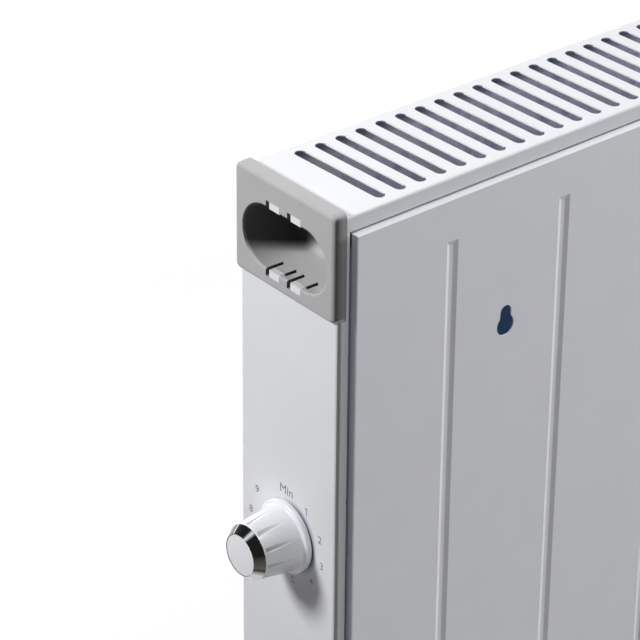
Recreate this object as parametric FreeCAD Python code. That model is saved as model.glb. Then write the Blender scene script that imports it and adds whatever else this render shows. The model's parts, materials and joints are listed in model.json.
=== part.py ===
import FreeCAD, Part
import math
import os

V = FreeCAD.Vector

# A free-standing panel convector in millimetres: +Z up, +Y towards the wall behind it, +X towards the dial.
# The origin is on the floor, under the middle of the whole heater, knob and handles included.

# Casing
CASE_LENGTH = 712.2        # outer face of one end panel to the other
SHELL_DEPTH = 80.0         # outer face of the front wall to outer face of the rear flange
CASE_HEIGHT = 400.0        # underside of the casing to its top
FOOT_HEIGHT = 32.0         # floor to the underside of the casing
SHEET = 0.8                # steel sheet
BEND = 0.5                 # inside radius of a bend in the sheet
SLIP = 0.1                 # gap between nested sheets and mouldings
RETURN_FLANGE = 10.0       # inward flange under the front wall
REAR_FLANGE = 8.7          # flange that hangs down behind the top

# Slots in the top
SLOT_PITCH = 13.97
SLOT_WIDTH = 6.4
SLOT_EDGE = 6.1            # slot's end to the casing's front or rear face
SLOT_MARGIN = 32.0         # least inset of the first slot's middle from an end panel

# Rear panel
FIELD_INSET = 9.1          # raised field's side to the end panel's outer face
FIELD_GAP = 1.4            # raised field to the flanges above and below it
FIELD_PROUD = 4.0          # raised field stands out of the rear flange
FIELD_ROUND = 0.7          # rounding along the field's outer edge
PANEL_LAP = 6.0            # panel's edge behind the flanges above and below it
GROOVE_PITCH = 80.4
GROOVE_WIDTH = 7.9
GROOVE_FLOOR = 2.7
GROOVE_DEPTH = 1.1
GROOVE_MARGIN = 24.2       # groove's end to the field's top or bottom edge
GROOVE_INSET = 70.0        # least inset of the first groove from an end panel
KEYHOLE_DROP = 98.5        # casing's top to the middle of the keyhole's head
KEYHOLE_RISE = 8.0         # middle of the head to the middle of the slot's round end
KEYHOLE_HEAD = 6.1         # radius
KEYHOLE_SLOT = 4.0         # radius of the slot's end, half its width

# End panels and the channels behind them
END_LEAN = 1.92            # degrees in plan, so that a panel's front edge lies further in than its rear edge
LEAN_GAP = 0.3             # room for the lean between a panel's front rim and the casing
PANEL_RIM = 5.5            # rim of an end panel, along the length
PANEL_ROUND = 2.2          # outside radius of an end panel's bends
STRIP = 7.2                # inset of the inner edge of the channel's rear flange
SEAM = (0.6, 0.45)         # line pressed into a panel's rear rim: wide, deep
CHANNEL_LAP = 12.0         # channel's front flange, along the length
CHANNEL_FOOT = 16.0        # channel's bottom flange, along the length
CHANNEL_GAP = 3.0          # channel's web below the handle

# Handles
HANDLE_HEIGHT = 58.9       # casing's top to the handle's lower edge
HANDLE_PROUD = 3.0         # handle's face out of the end panel
HANDLE_WALL = 1.5          # rim round the casing's edge
HANDLE_RISE = 2.9          # handle's top above the casing's top
HANDLE_ROUND = 3.6         # corners of the handle's outline
HANDLE_EDGE = 2.6          # rounding round the handle's face
POCKET_DROP = 31.4         # casing's top to the pocket's middle
POCKET_RADIUS = 17.5       # round ends of the finger pocket
POCKET_SIDE = 6.0          # pocket's end to the casing's front or rear face
POCKET_DEPTH = 32.0        # from the end panel's outer face
POCKET_WALL = 2.0
POCKET_ROUND = 6.0         # inner corner at the pocket's bottom
POCKET_LIP = 1.5           # rounding of the pocket's mouth
POCKET_GAP = 0.4           # cup to the edge of the opening in the panel
CLIP_OFFSET = 8.8          # middle of a snap window from the handle's middle
CLIP_HALF = 5.5            # middle of a window to its slits
CLIP_SLIT = 2.6
CLIP_DEPTH = 8.5           # slits' length into the pocket
CLIP_NOTCH = 4.4           # window's height in the lip
CLIP_RISE = 2.7            # snap tab out of the end panel

# Knob and thermostat
KNOB_DROP = 206.0          # casing's top to the knob's axis
KNOB_GAP = 0.6             # skirt to the end panel
SKIRT_RADIUS = 21.3
SKIRT_THICK = 3.2
SKIRT_ROUND = 1.1
KNOB_BASE = 19.0           # radius of the grip at the skirt
KNOB_NOSE = 15.8           # radius of the grip at the trim ring
KNOB_LENGTH = 27.0         # end panel to the trim ring
KNOB_WALL = 1.9
KNOB_ROOF = 2.5            # wall under the trim ring
KNOB_HUB = 6.2
HUB_START = 7.0            # end panel to the hub's back
RING_THICK = 5.4
RING_BAND = 0.3            # straight part of the trim ring
CAP_RADIUS = 11.7
CAP_SEAT = 3.0             # boss under the cap
CAP_CROWN = 0.6            # cap's middle above its edge
CAP_EDGE = 2.2             # cap's edge thickness
RING_GAP = 0.2
FLUTE_COUNT = 10
FLUTE_TURN = 26.5          # first flute's angle from upright, clockwise seen from outside
FLUTE_RADIUS = 2.4
FLUTE_DEPTH = 0.8
FLUTE_FADE = 9.0           # end panel to where the flutes run out
FLUTE_BAND = 0.8           # plain band between the flutes and the trim ring
SHAFT_RADIUS = 3.0
SHAFT_RUN = 0.05           # running clearance of the shaft in its bushing
SHAFT_FLAT = 2.0           # flat on the shaft, from its axis
KEY_GAP = 0.1              # shaft to the knob's bore
COLLAR_RADIUS = 6.0
COLLAR_THICK = 3.0
COLLAR_PLAY = 0.5
BUSHING_RADIUS = 4.5
BUSHING_PROUD = 2.0        # bushing out of the end panel
BUSHING_GAP = 0.3
STAT_PLATE = (24.0, 40.0, 1.0)      # across, tall, thick
STAT_HOUSING = (26.0, 34.0, 25.4)   # across, tall, deep
STAT_SCREW_RISE = 14.0
TAB = (0.8, 6.3, 8.0)      # terminal tab: thick, wide, long
TAB_OFFSET = 6.0           # tab from the middle of its housing
CLIP_LENGTH = 4.0
CLIP_THICK = 0.8
CLIP_PLAY = 0.1
CLIP_MOUTH = 5.0

# Bulkheads, heating element and heat shield
BULKHEAD_INSET = 105.0     # end panel's outer face to the bulkhead
BULKHEAD_HEADROOM = 60.0   # bulkhead's top to the casing's top
BULKHEAD_FOOT = 14.0
BULKHEAD_REAR_GAP = 3.0
ELEMENT_RISE = 110.0       # casing's underside to the element's axis
ELEMENT_WING = 32.0        # axis to a wing's tip
WING_THICK = 2.4
RIB_HALF = 6.0
RIB_THICK = 1.6
RIB_PLACES = (14.0, 20.0, 26.0)
HUB_RADIUS = 8.0
ROD_RADIUS = 5.0
ROD_GAP = 0.12
ROD_END = 13.0             # rod's end outside the bulkhead
BUSH_BARREL = 8.8
BUSH_FLANGE = (12.0, 4.0)  # radius, thickness
BUSH_OUT = 6.0             # bush outside the bulkhead
BUSH_IN = 12.0             # bush inside the bulkhead
BUSH_GAP = 0.2
STUD_RADIUS = 2.0
STUD_LENGTH = 13.0
NUT_GAP = 0.1
STUD_NUT = (7.0, 3.2)      # across flats, height
SHIELD_SHEET = 0.6
SHIELD_STANDOFF = 10.0     # rear flange plane to the shield
SHIELD_BELOW = 50.0
SHIELD_ABOVE = 70.0
SHIELD_TAB = 12.0
RIVET_RADIUS = 1.6
RIVET_HEAD = (3.0, 1.0)    # radius, height
RIVET_MARGIN = 20.0

# Thermal cut-out on the control bulkhead
CUTOUT_RISE = 55.0         # above the element's axis
CUTOUT_RADIUS = 8.0
CUTOUT_LENGTH = 9.0
CUTOUT_FLANGE = (32.0, 12.0, 1.0)   # across, tall, thick
CUTOUT_SCREW = 12.5

# Base plate
BASE_FLANGE = 13.0         # upright rear flange of the base, from the casing's underside
INLET_PITCH = 16.0
INLET_WIDTH = 6.0
INLET_HALF = 20.0
INLET_MARGIN = 30.0        # first inlet from a bulkhead

# Lead inlet and connections
GLAND_RISE = 18.0          # casing's underside to the gland's axis
GLAND_BORE = 4.2
GLAND_BARREL = 6.5
GLAND_FLANGE = (9.0, 3.0)  # radius, thickness
GLAND_LENGTH = 10.0
GLAND_NUT = (17.0, 5.0)    # across flats, height
CLAMP_INSET = 22.0
CLAMP_SIZE = (12.0, 30.0, 7.5)      # along the lead, across, strap height
CLAMP_SPLIT = 0.3          # half the gap between base and strap
CLAMP_SCREW = 10.5
BLOCK_INSET = 45.0
BLOCK_SIZE = (18.0, 32.0, 18.0)     # along, across, tall
BLOCK_Y = -7.0
POLE_PITCH = 10.0
POLE_RISE = 7.0
POLE_BORE = 2.0
POLE_DEPTH = 5.0
POLE_SCREW = (2.4, 3.0)    # radius, depth
EARTH_INSET = 80.0
EARTH_Y = 22.0
EARTH_STUD = (2.5, 14.0)   # radius, length
EARTH_NUT = (8.0, 4.0)
EARTH_LUG = (5.0, 1.0)     # radius, thickness
LUG_BARREL = (2.0, 7.0)    # radius, length
WIRE_RADIUS = 1.3
WIRE_BEND = 6.0
WIRE_GAP = 0.2             # wire's end to its terminal
GROMMET = (4.0, 4.0)       # radius in the bulkhead, length
GROMMET_GAP = 0.2

# Feet
FOOT_INSET = 70.0          # end panel's outer face to the foot's middle
FOOT_WIDTH = 46.0
FOOT_REACH = 105.0         # half its length
FOOT_TOE = 12.0            # height of the toe
FOOT_ARCH = 74.0           # half the length of the arch under it
FOOT_ARCH_RISE = 7.0
FOOT_ARCH_SLOPE = 8.0
FOOT_ROUND = 4.0
FOOT_EDGE = 1.5
PAD_RADIUS = 9.0
PAD_PROUD = 2.0
PAD_SEAT = 1.0
PAD_GAP = 0.3
PAD_FROM_TOE = 15.0
FOOT_SCREW_Y = 24.0
FOOT_SCREW = (2.5, 5.0, 3.0)        # radius, head radius, head height
FOOT_NUT = (8.0, 4.0)

# Sheet-metal screws
SCREW = (1.9, 3.6, 2.0)    # radius, head radius, head height
SCREW_LENGTH = 8.0
SMALL_SCREW = (1.5, 2.7, 1.8)
HOLE_GAP = 0.2
END_SCREW_Y = 28.0
END_SCREW_RISE = 20.0
CHANNEL_SCREW_INSET = 10.0
CHANNEL_SCREW_Y = 20.0
BULKHEAD_SCREW_Y = 25.0
BASE_SCREW_STEPS = (-1.0, -0.5, 0.0, 0.5, 1.0)
BASE_SCREW_CLEAR = 45.0    # outermost base screw to the foot beside it
REAR_SCREW_RISE = 7.5

# Places that follow from the sizes above
RING_SEAT = KNOB_LENGTH
KNOB_REACH = KNOB_LENGTH + CAP_SEAT + CAP_EDGE + CAP_CROWN
CAP_BALL = (CAP_RADIUS ** 2 + CAP_CROWN ** 2) / (2 * CAP_CROWN)
LEAN_COS = math.cos(math.radians(END_LEAN))
LEAN_SIN = math.sin(math.radians(END_LEAN))
KNOB_TIP = KNOB_REACH * LEAN_COS + CAP_BALL * (1 - LEAN_COS) - SHELL_DEPTH / 2 * LEAN_SIN
HANDLE_TIP = (HANDLE_PROUD - HANDLE_EDGE) * LEAN_COS + HANDLE_EDGE * (1 - LEAN_SIN)
CASE_X = (HANDLE_TIP - KNOB_TIP) / 2
END_X = CASE_X + CASE_LENGTH / 2
Y_REAR = SHELL_DEPTH / 2
Y_FRONT = -Y_REAR
RIM_FRONT = Y_FRONT - LEAN_GAP
Z_BOTTOM = FOOT_HEIGHT
Z_TOP = Z_BOTTOM + CASE_HEIGHT
BASE_TOP = Z_BOTTOM + 2 * SHEET
WEB = 2 * SHEET            # inset of the channel's inner face
HANDLE_REAR = Y_REAR - HANDLE_WALL - SLIP   # rear limit of the sheets inside a handle
POCKET_Z = Z_TOP - POCKET_DROP
POCKET_HALF = SHELL_DEPTH / 2 - POCKET_SIDE
KNOB_Z = Z_TOP - KNOB_DROP
ELEMENT_Z = Z_BOTTOM + ELEMENT_RISE
CUTOUT_Z = ELEMENT_Z + CUTOUT_RISE
GLAND_Z = Z_BOTTOM + GLAND_RISE
POLE_Z = BASE_TOP + POLE_RISE
FIELD_LOW = Z_BOTTOM + BASE_FLANGE + FIELD_GAP
FIELD_HIGH = Z_TOP - REAR_FLANGE - FIELD_GAP
FIELD_Y = Y_REAR + FIELD_PROUD
FOOT_BASE = PAD_PROUD
BULKHEAD_INNER = BULKHEAD_INSET + SHEET
SCREW_HOLE = SCREW[0] + HOLE_GAP
SMALL_HOLE = SMALL_SCREW[0] + HOLE_GAP
FOOT_HOLE = FOOT_SCREW[0] + HOLE_GAP
ALONG = V(1, 0, 0)
INWARD = V(-1, 0, 0)
TO_FRONT = V(0, -1, 0)
UP = V(0, 0, 1)
DOWN = V(0, 0, -1)
CLEAR = 1.0                # overshoot of cutting shapes
TINY = 1e-4


# Shapes

def at_inset(inset):
    """X of the plane this far in from the control end panel's outer face."""
    return END_X - inset


def block(x_range, y_range, z_range):
    low = V(min(x_range), min(y_range), min(z_range))
    high = V(max(x_range), max(y_range), max(z_range))
    size = high - low
    return Part.makeBox(size.x, size.y, size.z, low)


def end_block(insets, y_range, z_range):
    return block((at_inset(insets[0]), at_inset(insets[1])), y_range, z_range)


def span(middle, width):
    return (middle - width / 2, middle + width / 2)


def rod(start, direction, length, radius):
    return Part.makeCylinder(radius, length, start, direction)


def end_rod(insets, y, z, radius):
    """Round bar along the length, between two insets from the control end."""
    deep = max(insets)
    return rod(V(at_inset(deep), y, z), ALONG, deep - min(insets), radius)


def tube(insets, y, z, outer, inner):
    return end_rod(insets, y, z, outer).cut(end_rod((min(insets) - CLEAR, max(insets) + CLEAR), y, z, inner))


def extrude_along(outline, x_range):
    points = [V(x_range[0], y, z) for y, z in outline]
    face = Part.Face(Part.makePolygon(points + points[:1]))
    return face.extrude(V(x_range[1] - x_range[0], 0, 0))


def turned(profile, y, z):
    """Solid of revolution about a line along the length; the profile is (inset, radius) pairs."""
    points = [V(at_inset(inset), y, z + radius) for inset, radius in profile]
    face = Part.Face(Part.makePolygon(points + points[:1]))
    return face.revolve(V(0, y, z), ALONG, 360)


def obround_wire(middle, long_way, short_way, half_length, radius):
    reach = half_length - radius
    a = middle + long_way * reach + short_way * radius
    b = middle + long_way * half_length
    c = middle + long_way * reach - short_way * radius
    d = middle - long_way * reach - short_way * radius
    e = middle - long_way * half_length
    f = middle - long_way * reach + short_way * radius
    edges = [Part.Arc(a, b, c).toShape(), Part.makeLine(c, d)]
    edges += [Part.Arc(d, e, f).toShape(), Part.makeLine(f, a)]
    return Part.Wire(edges)


def obround(middle, long_way, short_way, half_length, radius, depth):
    return Part.Face(obround_wire(middle, long_way, short_way, half_length, radius)).extrude(depth)


def edges_along(shape, spots):
    """Edges that run along the length through the given (y, z) spots."""
    found = []
    for edge in shape.Edges:
        ends = [vertex.Point for vertex in edge.Vertexes]
        across = math.hypot(ends[0].y - ends[-1].y, ends[0].z - ends[-1].z)
        if across < TINY and any(math.hypot(ends[0].y - y, ends[0].z - z) < TINY for y, z in spots):
            found.append(edge)
    return found


def edges_in_plane(shape, axis, value):
    """Edges that lie wholly in the plane where that coordinate has that value."""
    found = []
    for edge in shape.Edges:
        box = edge.BoundBox
        low = getattr(box, axis + "Min")
        high = getattr(box, axis + "Max")
        if abs(low - value) < TINY and abs(high - value) < TINY:
            found.append(edge)
    return found


def leaned(shape):
    """The piece turned with its end panel, about the panel's upright rear edge."""
    return shape.rotated(V(END_X, Y_REAR, 0), UP, -END_LEAN)


def leaned_all(shapes):
    return [leaned(shape) for shape in shapes]


def leaned_point(spot):
    inward = spot.x - END_X
    forward = spot.y - Y_REAR
    x = END_X + LEAN_COS * inward + LEAN_SIN * forward
    return V(x, Y_REAR - LEAN_SIN * inward + LEAN_COS * forward, spot.z)


def end_cutters(inset):
    """Cutters for all that lies outside the leaning planes this far in from the end panels."""
    outside = end_block((inset, -CASE_HEIGHT), (2 * Y_FRONT, 2 * Y_REAR), (0, Z_TOP + CASE_HEIGHT))
    return both_ends([leaned(outside)])


def mirrored(shape):
    """The same piece at the plain end."""
    return shape.mirror(V(CASE_X, 0, 0), ALONG)


def both_ends(shapes):
    return shapes + [mirrored(shape) for shape in shapes]


def screw(seat, direction, length, size):
    """Screw whose head sits on seat and whose shank points along direction."""
    radius, head_radius, head_height = size
    shank = rod(seat, direction, length, radius)
    head = rod(seat - direction * head_height, direction, head_height, head_radius)
    return shank.fuse(head).removeSplitter()


def hex_nut(seat, direction, size, bore):
    across, height = size
    corner = across / math.sqrt(3)
    side = V(0, 1, 0) if abs(direction.y) < 0.5 else V(1, 0, 0)
    other = direction.cross(side)
    points = []
    for step in range(6):
        angle = math.radians(60 * step)
        points.append(seat + side * (corner * math.cos(angle)) + other * (corner * math.sin(angle)))
    body = Part.Face(Part.makePolygon(points + points[:1])).extrude(direction * height)
    return body.cut(rod(seat - direction * CLEAR, direction, height + 2 * CLEAR, bore))


def group(shapes):
    return Part.makeCompound(shapes)


# Places of repeated features

def slot_places():
    count = int((CASE_LENGTH - 2 * SLOT_MARGIN) / SLOT_PITCH) + 1
    return [CASE_X + (step - (count - 1) / 2) * SLOT_PITCH for step in range(count)]


def groove_places():
    count = int((CASE_LENGTH - 2 * GROOVE_INSET) / GROOVE_PITCH) + 1
    return [CASE_X + (step - (count - 1) / 2) * GROOVE_PITCH for step in range(count)]


def keyhole_places():
    """Midway between the two outermost grooves at each end."""
    grooves = groove_places()
    return [(grooves[0] + grooves[1]) / 2, (grooves[-1] + grooves[-2]) / 2]


def inlet_places():
    run = CASE_LENGTH - 2 * (BULKHEAD_INSET + INLET_MARGIN)
    count = int(run / INLET_PITCH) + 1
    return [CASE_X + (step - (count - 1) / 2) * INLET_PITCH for step in range(count)]


def base_screw_places():
    reach = CASE_LENGTH / 2 - FOOT_INSET - FOOT_WIDTH / 2 - BASE_SCREW_CLEAR
    return [CASE_X + reach * step for step in BASE_SCREW_STEPS]


def base_screw_y():
    return Y_FRONT + (SHEET + RETURN_FLANGE) / 2


def channel_screw_spots():
    x = at_inset(CHANNEL_SCREW_INSET)
    return [V(x, side * CHANNEL_SCREW_Y, Z_BOTTOM + SHEET) for side in (-1, 1)]


def bulkhead_screw_spots():
    x = at_inset(BULKHEAD_INNER + BULKHEAD_FOOT / 2)
    return [V(x, side * BULKHEAD_SCREW_Y, Z_BOTTOM + SHEET) for side in (-1, 1)]


def foot_screw_spots():
    seat = FOOT_BASE + FOOT_ARCH_RISE + FOOT_SCREW[2]
    return [V(at_inset(FOOT_INSET), side * FOOT_SCREW_Y, seat) for side in (-1, 1)]


def end_screw_spots():
    return [V(END_X, side * END_SCREW_Y, Z_BOTTOM + END_SCREW_RISE) for side in (-1, 1)]


def stat_screw_spots():
    return [V(END_X, 0, KNOB_Z + side * STAT_SCREW_RISE) for side in (-1, 1)]


def clamp_screw_spots():
    x = at_inset(CLAMP_INSET + CLAMP_SIZE[0] / 2)
    z = GLAND_Z + CLAMP_SPLIT + CLAMP_SIZE[2]
    return [V(x, side * CLAMP_SCREW, z) for side in (-1, 1)]


def cutout_screw_spots():
    x = at_inset(BULKHEAD_INSET - CUTOUT_FLANGE[2])
    return [V(x, side * CUTOUT_SCREW, CUTOUT_Z) for side in (-1, 1)]


def rivet_spots():
    y = Y_REAR - SHIELD_STANDOFF - SHIELD_TAB / 2
    heights = (ELEMENT_Z - SHIELD_BELOW + RIVET_MARGIN, ELEMENT_Z + SHIELD_ABOVE - RIVET_MARGIN)
    return [V(at_inset(BULKHEAD_INSET), y, z) for z in heights]


def pole_ys():
    return [BLOCK_Y + step * POLE_PITCH for step in (-1, 0, 1)]


def holes(spots, direction, depth, radius):
    """Round cutters through the sheets at each spot, from just before it to the given depth."""
    return [rod(spot - direction * CLEAR, direction, depth + CLEAR, radius) for spot in spots]


# Sheet-metal casing

def casing_wrapper():
    inner_front = Y_FRONT + SHEET
    inner_rear = Y_REAR - SHEET
    inner_top = Z_TOP - SHEET
    return_edge = Y_FRONT + RETURN_FLANGE
    flange_edge = Z_TOP - REAR_FLANGE
    outline = [
        (return_edge, Z_BOTTOM),
        (Y_FRONT, Z_BOTTOM),
        (Y_FRONT, Z_TOP),
        (Y_REAR, Z_TOP),
        (Y_REAR, flange_edge),
        (inner_rear, flange_edge),
        (inner_rear, inner_top),
        (inner_front, inner_top),
        (inner_front, Z_BOTTOM + SHEET),
        (return_edge, Z_BOTTOM + SHEET),
    ]
    half = CASE_LENGTH / 2
    shell = extrude_along(outline, (CASE_X - half, CASE_X + half))
    outer = [(Y_FRONT, Z_BOTTOM), (Y_FRONT, Z_TOP), (Y_REAR, Z_TOP)]
    inner = [(inner_front, Z_BOTTOM + SHEET), (inner_front, inner_top), (inner_rear, inner_top)]
    shell = shell.makeFillet(BEND + SHEET, edges_along(shell, outer))
    shell = shell.makeFillet(BEND, edges_along(shell, inner))
    slot_half = SHELL_DEPTH / 2 - SLOT_EDGE
    depth = V(0, 0, SHEET + 2 * CLEAR)
    cuts = end_cutters(SHEET + SLIP)
    notch = end_block((0, PANEL_RIM + SLIP), (HANDLE_REAR, 2 * Y_REAR), (Z_TOP - CASE_HEIGHT, Z_TOP + CLEAR))
    cuts += both_ends([leaned(notch)])
    for x in slot_places():
        middle = V(x, 0, inner_top - CLEAR)
        cuts.append(obround(middle, V(0, 1, 0), ALONG, slot_half, SLOT_WIDTH / 2, depth))
    spots = [V(x, base_screw_y(), Z_BOTTOM) for x in base_screw_places()]
    cuts += holes(spots, UP, 2 * SHEET, SCREW_HOLE)
    return shell.cut(cuts)


def groove_form(x, skin):
    """Tapered groove with square ends; skin is the sheet's thickness for the groove's back face."""
    slope = (GROOVE_WIDTH - GROOVE_FLOOR) / 2 / GROOVE_DEPTH
    floor_y = FIELD_Y - GROOVE_DEPTH - skin
    mouth_y = FIELD_Y + CLEAR
    floor_half = GROOVE_FLOOR / 2 + skin * (math.hypot(1, slope) - slope)
    mouth_half = floor_half + slope * (mouth_y - floor_y)
    straight = (FIELD_HIGH - FIELD_LOW) / 2 - GROOVE_MARGIN - GROOVE_WIDTH / 2
    middle = (FIELD_HIGH + FIELD_LOW) / 2
    wires = []
    for y, half in ((floor_y, floor_half), (mouth_y, mouth_half)):
        corners = []
        for side, turn in ((-1, -1), (1, -1), (1, 1), (-1, 1)):
            corners.append(V(x + side * half, y, middle + turn * (straight + half)))
        wires.append(Part.makePolygon(corners + corners[:1]))
    return Part.makeLoft(wires, True, True)


def keyhole(x):
    z = Z_TOP - KEYHOLE_DROP
    start = Y_REAR - CLEAR
    depth = FIELD_PROUD + 2 * CLEAR
    head = rod(V(x, start, z), V(0, 1, 0), depth, KEYHOLE_HEAD)
    neck = block(span(x, 2 * KEYHOLE_SLOT), (start, start + depth), (z, z + KEYHOLE_RISE))
    end = rod(V(x, start, z + KEYHOLE_RISE), V(0, 1, 0), depth, KEYHOLE_SLOT)
    return head.fuse([neck, end])


def rear_screw_spots():
    return [V(x, Y_REAR, Z_BOTTOM + REAR_SCREW_RISE) for x in base_screw_places()]


def rear_panel():
    half = CASE_LENGTH / 2 - FIELD_INSET
    x_range = (CASE_X - half, CASE_X + half)
    back = Y_REAR - 2 * SHEET
    field = block(x_range, (back, FIELD_Y), (FIELD_LOW, FIELD_HIGH))
    field = field.makeFillet(FIELD_ROUND, edges_in_plane(field, "Y", FIELD_Y))
    grooves = [groove_form(x, 0.0) for x in groove_places()]
    outside = field.cut(grooves)
    lap = PANEL_LAP
    edge_low = BASE_TOP + SHEET + REAR_SCREW_RISE / 4
    edge = block(x_range, (back, back + SHEET), (edge_low, FIELD_HIGH + lap))
    hollow_x = (x_range[0] + SHEET, x_range[1] - SHEET)
    hollow = block(hollow_x, (back - CLEAR, FIELD_Y - SHEET), (FIELD_LOW + SHEET, FIELD_HIGH - SHEET))
    hollow = hollow.cut([groove_form(x, SHEET) for x in groove_places()])
    panel = outside.fuse(edge).removeSplitter().cut(hollow)
    cuts = [keyhole(x) for x in keyhole_places()]
    cuts += holes(rear_screw_spots(), TO_FRONT, 3 * SHEET, SCREW_HOLE)
    return panel.cut(cuts)


def base_plate():
    half = CASE_LENGTH / 2
    rear = Y_REAR - PANEL_ROUND
    z_range = (Z_BOTTOM + SHEET, BASE_TOP)
    plate = block((CASE_X - half, CASE_X + half), (Y_FRONT + SHEET + BEND, rear), z_range)
    flange_half = CASE_LENGTH / 2 - STRIP - SLIP
    flange_x = (CASE_X - flange_half, CASE_X + flange_half)
    ledge = block(flange_x, (rear, Y_REAR), z_range)
    flange = block(flange_x, (Y_REAR - SHEET, Y_REAR), (Z_BOTTOM + SHEET, Z_BOTTOM + BASE_FLANGE))
    plate = plate.fuse([ledge, flange]).removeSplitter()
    cuts = end_cutters(WEB)
    depth = V(0, 0, SHEET + 2 * CLEAR)
    for x in inlet_places():
        middle = V(x, 0, Z_BOTTOM + SHEET - CLEAR)
        cuts.append(obround(middle, V(0, 1, 0), ALONG, INLET_HALF, INLET_WIDTH / 2, depth))
    spots = [V(x, base_screw_y(), Z_BOTTOM) for x in base_screw_places()]
    cuts += holes(spots, UP, 3 * SHEET, SCREW_HOLE)
    cuts += holes(rear_screw_spots(), TO_FRONT, 2 * SHEET, SCREW_HOLE)
    paired = leaned_all(holes(channel_screw_spots(), UP, 2 * SHEET, SCREW_HOLE))
    paired += holes(bulkhead_screw_spots(), UP, 2 * SHEET, SCREW_HOLE)
    cuts += both_ends(paired)
    feet = [V(spot.x, spot.y, Z_BOTTOM + SHEET) for spot in foot_screw_spots()]
    cuts += both_ends(holes(feet, UP, 2 * SHEET, FOOT_HOLE))
    low = [V(spot.x, spot.y, BASE_TOP) for spot in clamp_screw_spots()]
    cuts += holes(low, DOWN, 2 * SHEET, SMALL_HOLE)
    cuts += holes([block_screw_spot()], DOWN, BLOCK_SIZE[2], SMALL_HOLE)
    cuts += holes([earth_spot()], DOWN, 2 * SHEET, EARTH_STUD[0] + HOLE_GAP)
    return plate.cut(cuts)


def window_boxes(grow, insets, low, high):
    """One box per snap window in the pocket's lower lip, and its twin in the upper lip."""
    boxes = []
    for side in (-1, 1):
        y = side * CLIP_OFFSET
        y_range = (y - CLIP_HALF - grow, y + CLIP_HALF - CLIP_SLIT / 2)
        for turn in (-1, 1):
            boxes.append(end_block(insets, y_range, (POCKET_Z + turn * low, POCKET_Z + turn * high)))
    return boxes


def slit_boxes(offsets, insets, low, high):
    boxes = []
    for side in (-1, 1):
        for offset in offsets:
            y = side * CLIP_OFFSET + offset
            for turn in (-1, 1):
                z_range = (POCKET_Z + turn * low, POCKET_Z + turn * high)
                boxes.append(end_block(insets, span(y, CLIP_SLIT), z_range))
    return boxes


def end_panel():
    """Tray for one end: a face with rims below the handle, and a flat plate with an opening behind it."""
    split = Z_TOP - HANDLE_HEIGHT - SLIP
    low = Z_BOTTOM - SHEET
    outer = end_block((0, PANEL_RIM), (RIM_FRONT - SHEET, Y_REAR), (low, split))
    sides = [(RIM_FRONT - SHEET, low), (Y_REAR, low)]
    outer = outer.makeFillet(PANEL_ROUND, edges_along(outer, sides))
    rounds = [edge for edge in edges_in_plane(outer, "X", END_X) if edge.BoundBox.ZMin < split - TINY]
    outer = outer.makeFillet(PANEL_ROUND, rounds)
    inner_rear = Y_REAR - SHEET
    inner = end_block((SHEET, PANEL_RIM + CLEAR), (RIM_FRONT, inner_rear), (Z_BOTTOM, split + CLEAR))
    corners = [(RIM_FRONT, Z_BOTTOM), (inner_rear, Z_BOTTOM)]
    inner = inner.makeFillet(PANEL_ROUND - SHEET, edges_along(inner, corners))
    plate = end_block((0, SHEET), (Y_FRONT, HANDLE_REAR), (split - CLEAR, Z_TOP))
    tray = outer.cut(inner).fuse(plate).removeSplitter()
    cup = POCKET_RADIUS + POCKET_WALL + POCKET_GAP
    cup_half = POCKET_HALF + POCKET_WALL + POCKET_GAP
    middle = V(at_inset(SHEET + CLEAR), 0, POCKET_Z)
    opening = obround(middle, V(0, 1, 0), UP, cup_half, cup, V(SHEET + 2 * CLEAR, 0, 0))
    tabs = window_boxes(-CLIP_SLIT / 2, (-CLEAR, SHEET + CLEAR), POCKET_RADIUS + SLIP, cup + CLEAR)
    notch = POCKET_RADIUS + CLIP_NOTCH
    slots = slit_boxes((-CLIP_HALF,), (-CLEAR, SHEET + CLEAR), POCKET_RADIUS, notch)
    hems = window_boxes(-CLIP_SLIT / 2, (-CLIP_RISE, 0), POCKET_RADIUS + SLIP, notch - SLIP)
    tray = tray.cut(opening.cut(tabs)).cut(slots).fuse(hems).removeSplitter()
    wide, deep = SEAM
    seam_z = (Z_BOTTOM + PANEL_ROUND, split + CLEAR)
    tray = tray.cut(end_block(span(PANEL_ROUND, wide), (Y_REAR - deep, Y_REAR + CLEAR), seam_z))
    return tray.cut(holes(end_screw_spots(), INWARD, 2 * SHEET, SCREW_HOLE))


def control_holes():
    """Openings that only the control end has: the thermostat's bushing and screws, and the gland."""
    bushing = end_rod((-CLEAR, WEB + CLEAR), 0, KNOB_Z, BUSHING_RADIUS + BUSHING_GAP)
    gland = end_rod((-CLEAR, WEB + CLEAR), 0, GLAND_Z, GLAND_BARREL + HOLE_GAP)
    return [bushing, gland] + holes(stat_screw_spots(), INWARD, WEB + CLEAR, SMALL_HOLE)


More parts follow.
